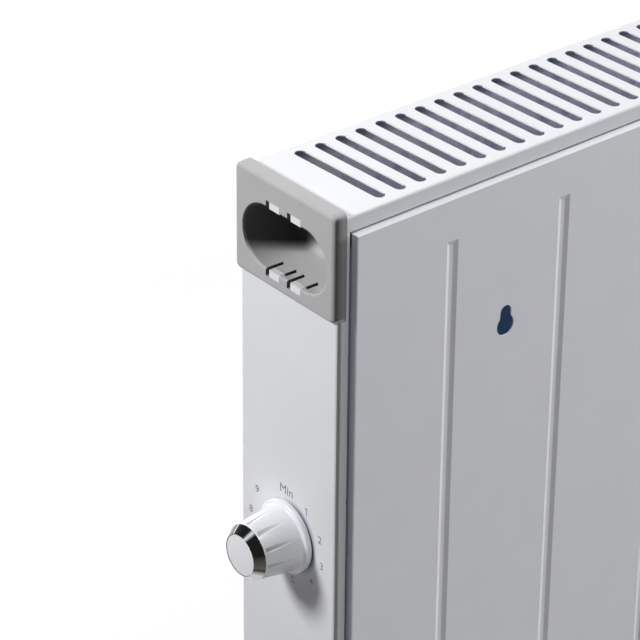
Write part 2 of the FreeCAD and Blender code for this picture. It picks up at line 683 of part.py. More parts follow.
def end_frame():
    """Channel behind an end panel; its rear flange shows as a strip beside the rear panel."""
    web_top = Z_TOP - HANDLE_HEIGHT - CHANNEL_GAP
    inner_front = Y_FRONT + SHEET
    inner_y = (inner_front + SHEET, HANDLE_REAR)
    low = Z_BOTTOM + PANEL_ROUND
    web = end_block((SHEET, WEB), inner_y, (BASE_TOP, web_top))
    rear_z = (low, Z_TOP - REAR_FLANGE - SLIP)
    rear = end_block((SHEET, STRIP), (HANDLE_REAR - SHEET, HANDLE_REAR), rear_z)
    strip = end_block((PANEL_RIM + SLIP, STRIP), (HANDLE_REAR, Y_REAR), rear_z)
    front = end_block((SHEET, CHANNEL_LAP), (inner_front, inner_front + SHEET), (low, web_top))
    foot_y = (inner_y[0], Y_REAR - PANEL_ROUND)
    foot = end_block((SHEET, CHANNEL_FOOT), foot_y, (BASE_TOP, BASE_TOP + SHEET))
    frame = web.fuse([rear, strip, front, foot]).removeSplitter()
    cuts = holes(channel_screw_spots(), UP, 4 * SHEET, SCREW_HOLE)
    cuts += holes(end_screw_spots(), INWARD, WEB + CLEAR, SCREW_HOLE)
    return frame.cut(cuts)


# Handles

def handle_cup():
    rim = SLIP + HANDLE_WALL
    low = Z_TOP - HANDLE_HEIGHT
    high = Z_TOP + HANDLE_RISE
    face = -HANDLE_PROUD
    y_range = (RIM_FRONT - rim, Y_REAR)
    shell = end_block((face, PANEL_RIM), y_range, (low, high))
    corners = [(y, z) for y in y_range for z in (low, high)]
    shell = shell.makeFillet(HANDLE_ROUND, edges_along(shell, corners))
    shell = shell.makeFillet(HANDLE_EDGE, edges_in_plane(shell, "X", at_inset(face)))
    inside_y = (RIM_FRONT - SLIP, Y_REAR - HANDLE_WALL)
    inside = end_block((0, PANEL_RIM + CLEAR), inside_y, (low - CLEAR, Z_TOP + SLIP))
    shell = shell.cut(inside)
    side = V(0, 1, 0)
    deep = POCKET_DEPTH + POCKET_WALL
    outer_half = POCKET_HALF + POCKET_WALL
    outer_radius = POCKET_RADIUS + POCKET_WALL
    cup = obround(V(at_inset(deep), 0, POCKET_Z), side, UP, outer_half, outer_radius, V(deep, 0, 0))
    cup = cup.makeFillet(POCKET_ROUND + POCKET_WALL, edges_in_plane(cup, "X", at_inset(deep)))
    reach = POCKET_DEPTH + HANDLE_PROUD
    start = V(at_inset(POCKET_DEPTH), 0, POCKET_Z)
    pocket = obround(start, side, UP, POCKET_HALF, POCKET_RADIUS, V(reach, 0, 0))
    pocket = pocket.makeFillet(POCKET_ROUND, edges_in_plane(pocket, "X", at_inset(POCKET_DEPTH)))
    body = shell.fuse(cup).removeSplitter().cut(pocket)
    mouth = [edge for edge in edges_in_plane(body, "X", at_inset(face)) if inside_pocket(edge)]
    body = body.makeFillet(POCKET_LIP, mouth)
    front = face - CLEAR
    lip = POCKET_RADIUS + CLIP_NOTCH
    wall = POCKET_RADIUS + POCKET_WALL + POCKET_GAP
    inner = POCKET_RADIUS - CLEAR
    cuts = slit_boxes((-CLIP_HALF, CLIP_HALF), (-SLIP, CLIP_DEPTH), inner, wall)
    cuts += window_boxes(CLIP_SLIT / 2, (front, 0), inner, lip)
    cuts += window_boxes(CLIP_SLIT / 2, (-SLIP, SHEET + POCKET_GAP), inner, wall)
    return body.cut(cuts)


def inside_pocket(edge):
    """True for the edges round the pocket's mouth, false for those round the handle's outline."""
    box = edge.BoundBox
    reach = max(abs(box.YMin), abs(box.YMax))
    rise = max(abs(box.ZMin - POCKET_Z), abs(box.ZMax - POCKET_Z))
    return reach < POCKET_HALF + TINY and rise < POCKET_RADIUS + TINY


# Knob

def knob_cone(inset):
    """Radius of the grip this far out from the end panel."""
    start = KNOB_GAP + SKIRT_THICK
    share = (inset - start) / (KNOB_LENGTH - start)
    return KNOB_BASE + (KNOB_NOSE - KNOB_BASE) * share


def knob_flute(angle):
    """Round cutter that dips into the grip behind the trim ring and runs out towards the skirt."""
    turn = math.radians(angle)
    away = V(0, math.sin(turn), math.cos(turn))
    nose = V(at_inset(-KNOB_LENGTH), 0, KNOB_Z)
    fade = V(at_inset(-FLUTE_FADE), 0, KNOB_Z)
    start = nose + away * (KNOB_NOSE - FLUTE_DEPTH + FLUTE_RADIUS)
    end = fade + away * (knob_cone(FLUTE_FADE) + FLUTE_RADIUS)
    share = 1 - FLUTE_BAND / (KNOB_LENGTH - FLUTE_FADE)
    length = (start - end).Length * share
    return rod(end, (start - end).normalize(), length, FLUTE_RADIUS)


def knob_body():
    skirt_front = KNOB_GAP + SKIRT_THICK
    roof = KNOB_LENGTH - KNOB_ROOF
    bore_end = roof + KNOB_ROOF / 2
    bore = SHAFT_RADIUS + KEY_GAP
    profile = [
        (-KNOB_GAP, SKIRT_RADIUS - KNOB_WALL),
        (-KNOB_GAP, SKIRT_RADIUS),
        (-skirt_front, SKIRT_RADIUS),
        (-skirt_front, KNOB_BASE),
        (-KNOB_LENGTH, KNOB_NOSE),
        (-KNOB_LENGTH, CAP_RADIUS - RING_GAP),
        (-KNOB_LENGTH - CAP_SEAT, CAP_RADIUS - RING_GAP),
        (-KNOB_LENGTH - CAP_SEAT, 0),
        (-bore_end, 0),
        (-bore_end, bore),
        (-HUB_START, bore),
        (-HUB_START, KNOB_HUB),
        (-roof, KNOB_HUB),
        (-roof, KNOB_NOSE - KNOB_WALL),
        (-skirt_front, KNOB_BASE - KNOB_WALL),
    ]
    body = turned(profile, 0, KNOB_Z)
    skirt_edges = []
    for edge in edges_in_plane(body, "X", at_inset(-skirt_front)):
        if edge.BoundBox.ZMax > KNOB_Z + KNOB_BASE - TINY:
            skirt_edges.append(edge)
    body = body.makeFillet(SKIRT_ROUND, skirt_edges)
    step = 360 / FLUTE_COUNT
    body = body.cut([knob_flute(FLUTE_TURN + step * number) for number in range(FLUTE_COUNT)])
    key_flat = SHAFT_FLAT + KEY_GAP
    key = end_rod((-bore_end, -HUB_START - CLIP_LENGTH), 0, KNOB_Z, bore + SLIP)
    key_z = (KNOB_Z + key_flat, KNOB_Z + KNOB_HUB)
    key = key.common(end_block((-bore_end, -HUB_START), span(0, 2 * KNOB_HUB), key_z))
    return body.fuse(key).removeSplitter()


def knob_trim_ring():
    inner = CAP_RADIUS + RING_GAP
    front = RING_SEAT + RING_THICK
    profile = [
        (-RING_SEAT, inner),
        (-RING_SEAT, KNOB_NOSE),
        (-RING_SEAT - RING_BAND, KNOB_NOSE),
        (-front, inner + RING_GAP),
        (-front, inner),
    ]
    return turned(profile, 0, KNOB_Z)


def knob_cap():
    """Disc with a slightly domed face: a straight edge cut by a large ball."""
    seat = KNOB_LENGTH + CAP_SEAT
    disc = end_rod((-seat, -KNOB_REACH), 0, KNOB_Z, CAP_RADIUS)
    ball = Part.makeSphere(CAP_BALL, V(at_inset(-KNOB_REACH) - CAP_BALL, 0, KNOB_Z))
    return disc.common(ball)


def knob_spring_clip():
    inner = KNOB_HUB + CLIP_PLAY
    insets = (-HUB_START - CLIP_LENGTH, -HUB_START - 2 * CLIP_LENGTH)
    ring = tube(insets, 0, KNOB_Z, inner + CLIP_THICK, inner)
    mouth = end_block(insets, span(0, CLIP_MOUTH), (KNOB_Z - inner - CLIP_THICK - CLEAR, KNOB_Z))
    return ring.cut(mouth)


# Thermostat

def collar_insets():
    start = WEB + STAT_PLATE[2] + COLLAR_THICK + COLLAR_PLAY
    return (start, start + COLLAR_THICK)


def thermostat_shaft():
    collar = collar_insets()
    roof = KNOB_LENGTH - KNOB_ROOF
    shaft = end_rod((-roof, collar[1]), 0, KNOB_Z, SHAFT_RADIUS)
    shaft = shaft.fuse(end_rod(collar, 0, KNOB_Z, COLLAR_RADIUS)).removeSplitter()
    flat_x = (-roof - CLEAR, -HUB_START - CLIP_LENGTH + KEY_GAP)
    flat_z = (KNOB_Z + SHAFT_FLAT, KNOB_Z + SHAFT_RADIUS + CLEAR)
    return shaft.cut(end_block(flat_x, span(0, 4 * SHAFT_RADIUS), flat_z))


def thermostat_bushing_plate():
    across, tall, thick = STAT_PLATE
    plate = end_block((WEB, WEB + thick), span(0, across), span(KNOB_Z, tall))
    plate = plate.fuse(end_rod((-BUSHING_PROUD, WEB), 0, KNOB_Z, BUSHING_RADIUS)).removeSplitter()
    bore = end_rod((-BUSHING_PROUD - CLEAR, WEB + thick + CLEAR), 0, KNOB_Z, SHAFT_RADIUS + SHAFT_RUN)
    return plate.cut([bore] + holes(stat_screw_spots(), INWARD, WEB + thick + CLEAR, SMALL_HOLE))


def housing_insets():
    start = WEB + STAT_PLATE[2]
    return (start, start + STAT_HOUSING[2])


def thermostat_housing():
    across, tall, deep = STAT_HOUSING
    insets = housing_insets()
    collar = collar_insets()
    body = end_block(insets, span(0, across), span(KNOB_Z, tall))
    neck = end_rod((insets[0] - CLEAR, collar[0]), 0, KNOB_Z, SHAFT_RADIUS + HOLE_GAP)
    chamber_insets = (collar[0] - COLLAR_PLAY, collar[1] + COLLAR_PLAY)
    chamber = end_rod(chamber_insets, 0, KNOB_Z, COLLAR_RADIUS + COLLAR_PLAY)
    screw_room = holes(stat_screw_spots(), INWARD, SCREW_LENGTH + CLEAR, SMALL_HOLE + HOLE_GAP)
    return body.cut([neck, chamber] + screw_room)


def terminal_tabs(insets, z):
    thick, wide, long = TAB
    return [end_block(insets, span(side * TAB_OFFSET, thick), span(z, wide)) for side in (-1, 1)]


def stat_tab_insets():
    start = housing_insets()[1]
    return (start, start + TAB[2])


def cutout_tab_insets():
    start = BULKHEAD_INSET - CUTOUT_FLANGE[2] - CUTOUT_LENGTH
    return (start - TAB[2], start)


# Bulkheads, element, shield

def bulkhead():
    top = Z_TOP - BULKHEAD_HEADROOM
    y_range = (Y_FRONT + SHEET, Y_REAR - BULKHEAD_REAR_GAP)
    plate = end_block((BULKHEAD_INSET, BULKHEAD_INNER), y_range, (BASE_TOP + BEND, top))
    foot_y = (Y_FRONT + 2 * SHEET + BEND, Y_REAR - BULKHEAD_REAR_GAP)
    foot = end_block((BULKHEAD_INSET, BULKHEAD_INNER + BULKHEAD_FOOT), foot_y, (BASE_TOP, BASE_TOP + SHEET))
    riser = end_block((BULKHEAD_INSET, BULKHEAD_INNER), foot_y, (BASE_TOP, BASE_TOP + 2 * BEND))
    plate = plate.fuse([foot, riser]).removeSplitter()
    through = (BULKHEAD_INSET - CLEAR, BULKHEAD_INNER + CLEAR)
    cuts = [end_rod(through, 0, ELEMENT_Z, BUSH_BARREL + BUSH_GAP)]
    cuts.append(end_rod(through, BLOCK_Y, POLE_Z, GROMMET[0] + GROMMET_GAP))
    cuts += holes(rivet_spots(), INWARD, 2 * SHEET, RIVET_RADIUS + HOLE_GAP)
    cuts += holes(bulkhead_screw_spots(), UP, 4 * SHEET, SCREW_HOLE)
    return plate.cut(cuts)


def element_profile():
    """Cross of ribbed wings round a hub, one extrusion between the two bushes."""
    inset = BULKHEAD_INNER + BUSH_IN + BUSH_GAP
    start = V(at_inset(inset), 0, ELEMENT_Z)
    length = CASE_LENGTH - 2 * inset
    hub = rod(start, INWARD, length, HUB_RADIUS)
    x_range = (start.x - length, start.x)
    bars = []
    for angle in (45, 135):
        bar = block(x_range, span(0, 2 * ELEMENT_WING), span(ELEMENT_Z, WING_THICK))
        bars.append(bar.rotate(start, ALONG, angle))
    for angle in (45, 135, 225, 315):
        for place in RIB_PLACES:
            rib = block(x_range, span(place, RIB_THICK), span(ELEMENT_Z, RIB_HALF))
            bars.append(rib.rotate(start, ALONG, angle))
    profile = hub.fuse(bars).removeSplitter()
    return profile.cut(rod(start + ALONG, INWARD, length + 2 * CLEAR, ROD_RADIUS + ROD_GAP))


def rod_inset():
    return BULKHEAD_INSET - ROD_END


def element_rod():
    inset = rod_inset()
    return rod(V(at_inset(inset), 0, ELEMENT_Z), INWARD, CASE_LENGTH - 2 * inset, ROD_RADIUS)


def element_bush():
    outside = (BULKHEAD_INSET - BUSH_OUT, BULKHEAD_INNER)
    flange_end = BULKHEAD_INNER + BUSH_FLANGE[1]
    bush = end_rod(outside, 0, ELEMENT_Z, BUSH_BARREL)
    flange = end_rod((BULKHEAD_INNER, flange_end), 0, ELEMENT_Z, BUSH_FLANGE[0])
    nose = end_rod((flange_end, BULKHEAD_INNER + BUSH_IN), 0, ELEMENT_Z, HUB_RADIUS)
    bore_insets = (outside[0] - CLEAR, BULKHEAD_INNER + BUSH_IN + CLEAR)
    bore = end_rod(bore_insets, 0, ELEMENT_Z, ROD_RADIUS + ROD_GAP)
    return bush.fuse([flange, nose]).removeSplitter().cut(bore)


def stud_insets():
    inset = rod_inset()
    return (inset - STUD_LENGTH, inset)


def element_studs():
    stud = end_rod(stud_insets(), 0, ELEMENT_Z, STUD_RADIUS)
    seat = V(at_inset(rod_inset() - SLIP), 0, ELEMENT_Z)
    nut = hex_nut(seat, ALONG, STUD_NUT, STUD_RADIUS + NUT_GAP)
    return group(both_ends([stud, nut]))


def heat_shield():
    rear = Y_REAR - SHIELD_STANDOFF
    z_range = (ELEMENT_Z - SHIELD_BELOW, ELEMENT_Z + SHIELD_ABOVE)
    half = CASE_LENGTH / 2 - BULKHEAD_INNER
    sheet = block((CASE_X - half, CASE_X + half), (rear - SHIELD_SHEET, rear), z_range)
    tab_insets = (BULKHEAD_INNER, BULKHEAD_INNER + SHIELD_SHEET)
    tab = end_block(tab_insets, (rear - SHIELD_TAB, rear), z_range)
    shield = sheet.fuse(both_ends([tab])).removeSplitter()
    cuts = holes(rivet_spots(), INWARD, 2 * SHEET + SHIELD_SHEET + CLEAR, RIVET_RADIUS + HOLE_GAP)
    return shield.cut(both_ends(cuts))


def shield_rivets():
    length = SHEET + SHIELD_SHEET + RIVET_HEAD[1]
    rivets = [screw(spot, INWARD, length, (RIVET_RADIUS,) + RIVET_HEAD) for spot in rivet_spots()]
    return group(both_ends(rivets))


def thermal_cutout():
    across, tall, thick = CUTOUT_FLANGE
    front = BULKHEAD_INSET - thick
    flange = end_block((front, BULKHEAD_INSET), span(0, across), span(CUTOUT_Z, tall))
    body = end_rod((front - CUTOUT_LENGTH, front), 0, CUTOUT_Z, CUTOUT_RADIUS)
    cutout = flange.fuse(body).removeSplitter()
    return cutout.cut(holes(cutout_screw_spots(), INWARD, thick + CLEAR, SMALL_HOLE))


# Lead inlet and connections

def cable_gland():
    flange_radius, flange_thick = GLAND_FLANGE
    flange = end_rod((-flange_thick, 0), 0, GLAND_Z, flange_radius)
    flange = flange.makeFillet(flange_thick / 3, edges_in_plane(flange, "X", at_inset(-flange_thick)))
    barrel = end_rod((0, GLAND_LENGTH), 0, GLAND_Z, GLAND_BARREL)
    bore = end_rod((-flange_thick - CLEAR, GLAND_LENGTH + CLEAR), 0, GLAND_Z, GLAND_BORE)
    return flange.fuse(barrel).removeSplitter().cut(bore)


def gland_nut():
    return hex_nut(V(at_inset(WEB), 0, GLAND_Z), INWARD, GLAND_NUT, GLAND_BARREL + NUT_GAP)


def clamp_half(z_range):
    along, across, tall = CLAMP_SIZE
    insets = (CLAMP_INSET, CLAMP_INSET + along)
    body = end_block(insets, span(0, across), z_range)
    channel = end_rod((insets[0] - CLEAR, insets[1] + CLEAR), 0, GLAND_Z, GLAND_BORE)
    drilled = holes(clamp_screw_spots(), DOWN, tall + GLAND_RISE, SMALL_HOLE)
    return body.cut([channel] + drilled)


def clamp_screws():
    length = CLAMP_SIZE[2] + 2 * CLAMP_SPLIT + GLAND_RISE - SHEET
    return group([screw(spot, DOWN, length, SMALL_SCREW) for spot in clamp_screw_spots()])


def block_insets():
    return (BLOCK_INSET, BLOCK_INSET + BLOCK_SIZE[0])


def block_middle():
    return at_inset(BLOCK_INSET + BLOCK_SIZE[0] / 2)


def block_screw_spot():
    """Seat of the block's fixing screw, in a well between two poles."""
    return V(block_middle(), BLOCK_Y + POLE_PITCH / 2, BASE_TOP + BLOCK_SIZE[2] / 3)


def terminal_block():
    along, across, tall = BLOCK_SIZE
    insets = block_insets()
    body = end_block(insets, span(BLOCK_Y, across), (BASE_TOP, BASE_TOP + tall))
    cuts = []
    for y in pole_ys():
        cuts.append(end_rod((insets[0] - CLEAR, insets[0] + POLE_DEPTH), y, POLE_Z, POLE_BORE))
        cuts.append(end_rod((insets[1] - POLE_DEPTH, insets[1] + CLEAR), y, POLE_Z, POLE_BORE))
        top = V(block_middle(), y, BASE_TOP + tall - POLE_SCREW[1])
        cuts.append(rod(top, UP, POLE_SCREW[1] + CLEAR, POLE_SCREW[0] + HOLE_GAP))
    seat = block_screw_spot()
    cuts.append(rod(seat, UP, tall, SMALL_SCREW[1] + HOLE_GAP))
    cuts.append(rod(seat, DOWN, tall, SMALL_HOLE))
    return body.cut(cuts)


def block_screws():
    top = BASE_TOP + BLOCK_SIZE[2]
    clamps = []
    for y in pole_ys():
        foot = V(block_middle(), y, top - POLE_SCREW[1])
        clamps.append(rod(foot, UP, POLE_SCREW[1] - SLIP, POLE_SCREW[0]))
    fixing = screw(block_screw_spot(), DOWN, BLOCK_SIZE[2] / 3 + 2 * SHEET, SMALL_SCREW)
    return group(clamps + [fixing])


def earth_spot():
    return V(at_inset(EARTH_INSET), EARTH_Y, BASE_TOP)


def earth_terminal():
    """Welded stud, ring lug and nut."""
    spot = earth_spot()
    radius, length = EARTH_STUD
    stud = rod(spot - UP * (2 * SHEET), UP, length, radius)
    lug = rod(spot, UP, EARTH_LUG[1], EARTH_LUG[0])
    barrel_start = spot + V(0, SLIP - EARTH_LUG[0], EARTH_LUG[1] + LUG_BARREL[0] - SLIP)
    lug = lug.fuse(rod(barrel_start, TO_FRONT, LUG_BARREL[1], LUG_BARREL[0]))
    neck_y = (spot.y - EARTH_LUG[0] + 2 * SLIP, spot.y - EARTH_LUG[0] - LUG_BARREL[1] / 2)
    neck = block(span(spot.x, 2 * LUG_BARREL[0]), neck_y, (spot.z, barrel_start.z))
    lug = lug.fuse(neck).removeSplitter()
    lug = lug.cut(rod(spot - UP, UP, length, radius + HOLE_GAP))
    nut = hex_nut(spot + UP * EARTH_LUG[1], UP, EARTH_NUT, radius + NUT_GAP)
    return group([stud, lug, nut])


def wire(points):
    """Insulated wire along straight runs joined by round bends."""
    edges = []
    start = points[0]
    for before, corner, after in zip(points, points[1:], points[2:]):
        back = (before - corner).normalize()
        ahead = (after - corner).normalize()
        half_turn = back.getAngle(ahead) / 2
        trim = WIRE_BEND / math.tan(half_turn)
        middle = (back + ahead).normalize()
        dip = WIRE_BEND / math.sin(half_turn) - WIRE_BEND
        first = corner + back * trim
        last = corner + ahead * trim
        edges.append(Part.makeLine(start, first))
        edges.append(Part.Arc(first, corner + middle * dip, last).toShape())
        start = last
    edges.append(Part.makeLine(start, points[-1]))
    path = Part.Wire(edges)
    profile = Part.Wire(Part.makeCircle(WIRE_RADIUS, points[0], (points[1] - points[0]).normalize()))
    return path.makePipeShell([profile], True, True)


def stat_point(inset, side):
    return leaned_point(V(at_inset(inset), side * TAB_OFFSET, KNOB_Z))


def inset_point(inset, y, z):
    return V(at_inset(inset), y, z)


def wiring():
    """Live feed, switched feed, element feed, return and earth, each from terminal to terminal."""
    face = block_insets()[1]
    out = face - POLE_DEPTH + WIRE_GAP
    riser = face + 2 * WIRE_BEND
    stat = stat_tab_insets()[1] + WIRE_GAP
    cutout = cutout_tab_insets()[0] - WIRE_GAP
    stud = stud_insets()[0] - WIRE_GAP
    first, second, third = pole_ys()
    far = CASE_LENGTH - stud
    turn = 3 * WIRE_BEND
    lug_y = EARTH_Y + SLIP - EARTH_LUG[0] - LUG_BARREL[1] - WIRE_GAP
    lug_z = BASE_TOP + EARTH_LUG[1] + LUG_BARREL[0] - SLIP
    feed = [
        inset_point(out, first, POLE_Z),
        inset_point(riser, first, POLE_Z),
        inset_point(riser, first, KNOB_Z - turn),
        stat_point(stat + turn, -1),
        stat_point(stat, -1),
    ]
    switched = [
        stat_point(stat, 1),
        stat_point(stat + turn, 1),
        inset_point(cutout - turn, TAB_OFFSET, CUTOUT_Z),
        inset_point(cutout, TAB_OFFSET, CUTOUT_Z),
    ]
    heated = [
        inset_point(cutout, -TAB_OFFSET, CUTOUT_Z),
        inset_point(cutout - turn, -TAB_OFFSET, CUTOUT_Z),
        inset_point(stud - turn, 0, ELEMENT_Z),
        inset_point(stud, 0, ELEMENT_Z),
    ]
    back = [
        inset_point(far, 0, ELEMENT_Z),
        inset_point(far + turn, 0, ELEMENT_Z),
        inset_point(far + turn, second, POLE_Z),
        inset_point(out, second, POLE_Z),
    ]
    earth = [
        inset_point(out, third, POLE_Z),
        inset_point(face + WIRE_BEND, third, POLE_Z),
        inset_point(EARTH_INSET, third, lug_z),
        inset_point(EARTH_INSET, lug_y, lug_z),
    ]
    wires = [wire(route) for route in (feed, switched, heated, back, earth)]
    return group(wires)


def grommet():
    radius, length = GROMMET
    middle = BULKHEAD_INSET + SHEET / 2
    insets = (middle - length / 2, middle + length / 2)
    return tube(insets, BLOCK_Y, POLE_Z, radius, WIRE_RADIUS + GROMMET_GAP)


# Feet

def foot():
    toe = FOOT_BASE + FOOT_TOE
    crown = FOOT_BASE + FOOT_ARCH_RISE
    flat = FOOT_ARCH - FOOT_ARCH_SLOPE
    outline = [
        (-FOOT_REACH, FOOT_BASE),
        (-FOOT_ARCH, FOOT_BASE),
        (-flat, crown),
        (flat, crown),
        (FOOT_ARCH, FOOT_BASE),
        (FOOT_REACH, FOOT_BASE),
        (FOOT_REACH, toe),
        (Y_REAR, Z_BOTTOM),
        (Y_FRONT, Z_BOTTOM),
        (-FOOT_REACH, toe),
    ]
    middle = at_inset(FOOT_INSET)
    body = extrude_along(outline, span(middle, FOOT_WIDTH))
    body = body.makeFillet(FOOT_ROUND, edges_along(body, [(-FOOT_REACH, toe), (FOOT_REACH, toe)]))
    rims = []
    for edge in edges_in_plane(body, "X", middle - FOOT_WIDTH / 2):
        if edge.BoundBox.ZMax > toe - FOOT_ROUND and edge.BoundBox.ZMin < Z_BOTTOM - TINY:
            rims.append(edge)
    for edge in edges_in_plane(body, "X", middle + FOOT_WIDTH / 2):
        if edge.BoundBox.ZMax > toe - FOOT_ROUND and edge.BoundBox.ZMin < Z_BOTTOM - TINY:
            rims.append(edge)
    body = body.makeFillet(FOOT_EDGE, rims)
    cuts = []
    for spot in pad_spots():
        cuts.append(rod(V(spot.x, spot.y, FOOT_BASE - CLEAR), UP, PAD_SEAT + CLEAR, PAD_RADIUS + PAD_GAP))
    for seat in foot_screw_spots():
        cuts.append(rod(seat, UP, Z_BOTTOM, FOOT_HOLE))
        cuts.append(rod(seat, DOWN, FOOT_SCREW[2] + CLEAR, FOOT_SCREW[1] + HOLE_GAP))
    return body.cut(cuts)


def pad_spots():
    y = FOOT_REACH - PAD_FROM_TOE
    return [V(at_inset(FOOT_INSET), side * y, 0) for side in (-1, 1)]


def foot_pads():
    return group(both_ends([rod(spot, UP, PAD_PROUD + PAD_SEAT, PAD_RADIUS) for spot in pad_spots()]))


def foot_screws():
    length = BASE_TOP + FOOT_NUT[1] + SHEET - foot_screw_spots()[0].z
    return group(both_ends([screw(spot, UP, length, FOOT_SCREW) for spot in foot_screw_spots()]))


def foot_nuts():
    nuts = []
    for spot in foot_screw_spots():
        nuts.append(hex_nut(V(spot.x, spot.y, BASE_TOP), UP, FOOT_NUT, FOOT_SCREW[0] + NUT_GAP))
    return group(both_ends(nuts))


# Screws

def screws(spots, direction, size=SCREW, length=SCREW_LENGTH):
    return [screw(spot, direction, length, size) for spot in spots]


def base_screws():
    return group(screws([V(x, base_screw_y(), Z_BOTTOM) for x in base_screw_places()], UP))


# Every piece under its own name

def pieces():
    panel = end_panel()
    frame = end_frame()
    handle = handle_cup()
    wall = bulkhead()
    shoe = foot()
    cutout_holes = holes(cutout_screw_spots(), INWARD, CUTOUT_FLANGE[2] + SHEET + CLEAR, SMALL_HOLE)
    strap_low = GLAND_Z + CLAMP_SPLIT
    return {
        "casing_wrapper": casing_wrapper(),
        "rear_panel": rear_panel(),
        "base_plate": base_plate(),
        "control_end_panel": leaned(panel.cut(control_holes())),
        "plain_end_panel": mirrored(leaned(panel)),
        "control_end_frame": leaned(frame.cut(control_holes())),
        "plain_end_frame": mirrored(leaned(frame)),
        "control_handle_cup": leaned(handle),
        "plain_handle_cup": mirrored(leaned(handle)),
        "knob_body": leaned(knob_body()),
        "knob_trim_ring": leaned(knob_trim_ring()),
        "knob_cap": leaned(knob_cap()),
        "knob_spring_clip": leaned(knob_spring_clip()),
        "thermostat_shaft": leaned(thermostat_shaft()),
        "thermostat_bushing_plate": leaned(thermostat_bushing_plate()),
        "thermostat_housing": leaned(thermostat_housing()),
        "thermostat_terminals": group(leaned_all(terminal_tabs(stat_tab_insets(), KNOB_Z))),
        "thermostat_screws": group(leaned_all(screws(stat_screw_spots(), INWARD, SMALL_SCREW))),
        "control_bulkhead": wall.cut(cutout_holes),
        "plain_bulkhead": mirrored(wall),
        "element_profile": element_profile(),
        "element_rod": element_rod(),
        "element_bushes": group(both_ends([element_bush()])),
        "element_studs": element_studs(),
        "heat_shield": heat_shield(),
        "heat_shield_rivets": shield_rivets(),
        "thermal_cutout": thermal_cutout(),
        "cutout_terminals": group(terminal_tabs(cutout_tab_insets(), CUTOUT_Z)),
        "cutout_screws": group(screws(cutout_screw_spots(), INWARD, SMALL_SCREW)),
        "cable_gland": leaned(cable_gland()),
        "gland_nut": leaned(gland_nut()),
        "lead_clamp_base": clamp_half((BASE_TOP, GLAND_Z - CLAMP_SPLIT)),
        "lead_clamp_strap": clamp_half((strap_low, strap_low + CLAMP_SIZE[2])),
        "lead_clamp_screws": clamp_screws(),
        "terminal_block": terminal_block(),
        "terminal_block_screws": block_screws(),
        "earth_terminal": earth_terminal(),
        "wiring": wiring(),
        "wiring_grommets": group(both_ends([grommet()])),
        "control_foot": shoe,
        "plain_foot": mirrored(shoe),
        "foot_pads": foot_pads(),
        "foot_screws": foot_screws(),
        "foot_nuts": foot_nuts(),
        "base_screws": base_screws(),
        "rear_panel_screws": group(screws(rear_screw_spots(), TO_FRONT)),
        "end_panel_screws": group(both_ends(leaned_all(screws(end_screw_spots(), INWARD)))),
        "end_frame_screws": group(both_ends(leaned_all(screws(channel_screw_spots(), UP)))),
        "bulkhead_screws": group(both_ends(screws(bulkhead_screw_spots(), UP))),
    }


os.makedirs("parts", exist_ok=True)
for name, shape in pieces().items():
    shape.exportStep("parts/" + name + ".step")
    print(name, len(shape.Solids), shape.isValid(), round(shape.Volume / 1000, 3))
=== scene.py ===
import json
import math

import bpy
from mathutils import Matrix, Vector


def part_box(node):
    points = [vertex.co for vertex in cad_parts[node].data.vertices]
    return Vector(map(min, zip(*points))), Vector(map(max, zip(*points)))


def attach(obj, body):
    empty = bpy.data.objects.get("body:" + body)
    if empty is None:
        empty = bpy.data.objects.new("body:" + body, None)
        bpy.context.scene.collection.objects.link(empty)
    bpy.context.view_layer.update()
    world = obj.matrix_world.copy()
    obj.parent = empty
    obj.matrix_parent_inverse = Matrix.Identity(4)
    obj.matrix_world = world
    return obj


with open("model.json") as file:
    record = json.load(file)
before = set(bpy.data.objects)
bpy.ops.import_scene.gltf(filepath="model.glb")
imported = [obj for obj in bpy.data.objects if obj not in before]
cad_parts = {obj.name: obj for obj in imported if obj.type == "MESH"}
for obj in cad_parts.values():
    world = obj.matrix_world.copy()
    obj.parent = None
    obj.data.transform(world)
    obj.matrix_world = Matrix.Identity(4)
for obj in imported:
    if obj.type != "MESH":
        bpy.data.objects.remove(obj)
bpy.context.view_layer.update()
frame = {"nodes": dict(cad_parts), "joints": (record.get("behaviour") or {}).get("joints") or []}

nodes = frame["nodes"]
scene = bpy.context.scene

# Places on the part, in metres
shell_low, shell_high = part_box("casing_wrapper")
Y_REAR = shell_high.y
Z_TOP = shell_high.z
SHELL_MIDDLE = (shell_low + shell_high) / 2
dial = next(joint for joint in frame["joints"] if joint["name"] == "thermostat_knob")
DIAL = Vector(dial["pos_m"])
OUT = -Vector(dial["axis"]).normalized()
UP = Vector((0, 0, 1))
SIDE = UP.cross(OUT)
CORNER = DIAL + SIDE * ((Y_REAR - DIAL.y) / SIDE.y)     # top rear corner of the control end
CORNER.z = Z_TOP
POCKET_RADIUS = 0.0175      # half the finger pocket's height
POCKET_PROUD = 0.002        # end panel's face to the pocket's mouth
POCKET_DROP = 0.0314        # casing's top to the pocket's middle
POCKET_MOUTH = DIAL + OUT * POCKET_PROUD
POCKET_MOUTH.z = Z_TOP - POCKET_DROP


def at_plain_end(spot):
    """Mirror image of a spot, at the end without the dial."""
    return Vector((2 * SHELL_MIDDLE.x - spot.x, spot.y, spot.z))


def mirrored(way):
    return Vector((-way.x, way.y, way.z))


# Node helpers

def new_material(name):
    material = bpy.data.materials.new(name)
    material.use_nodes = True
    tree = material.node_tree
    shader = tree.nodes["Principled BSDF"]
    return material, tree, shader


def add(tree, kind, **values):
    node = tree.nodes.new(kind)
    for key, value in values.items():
        setattr(node, key, value)
    return node


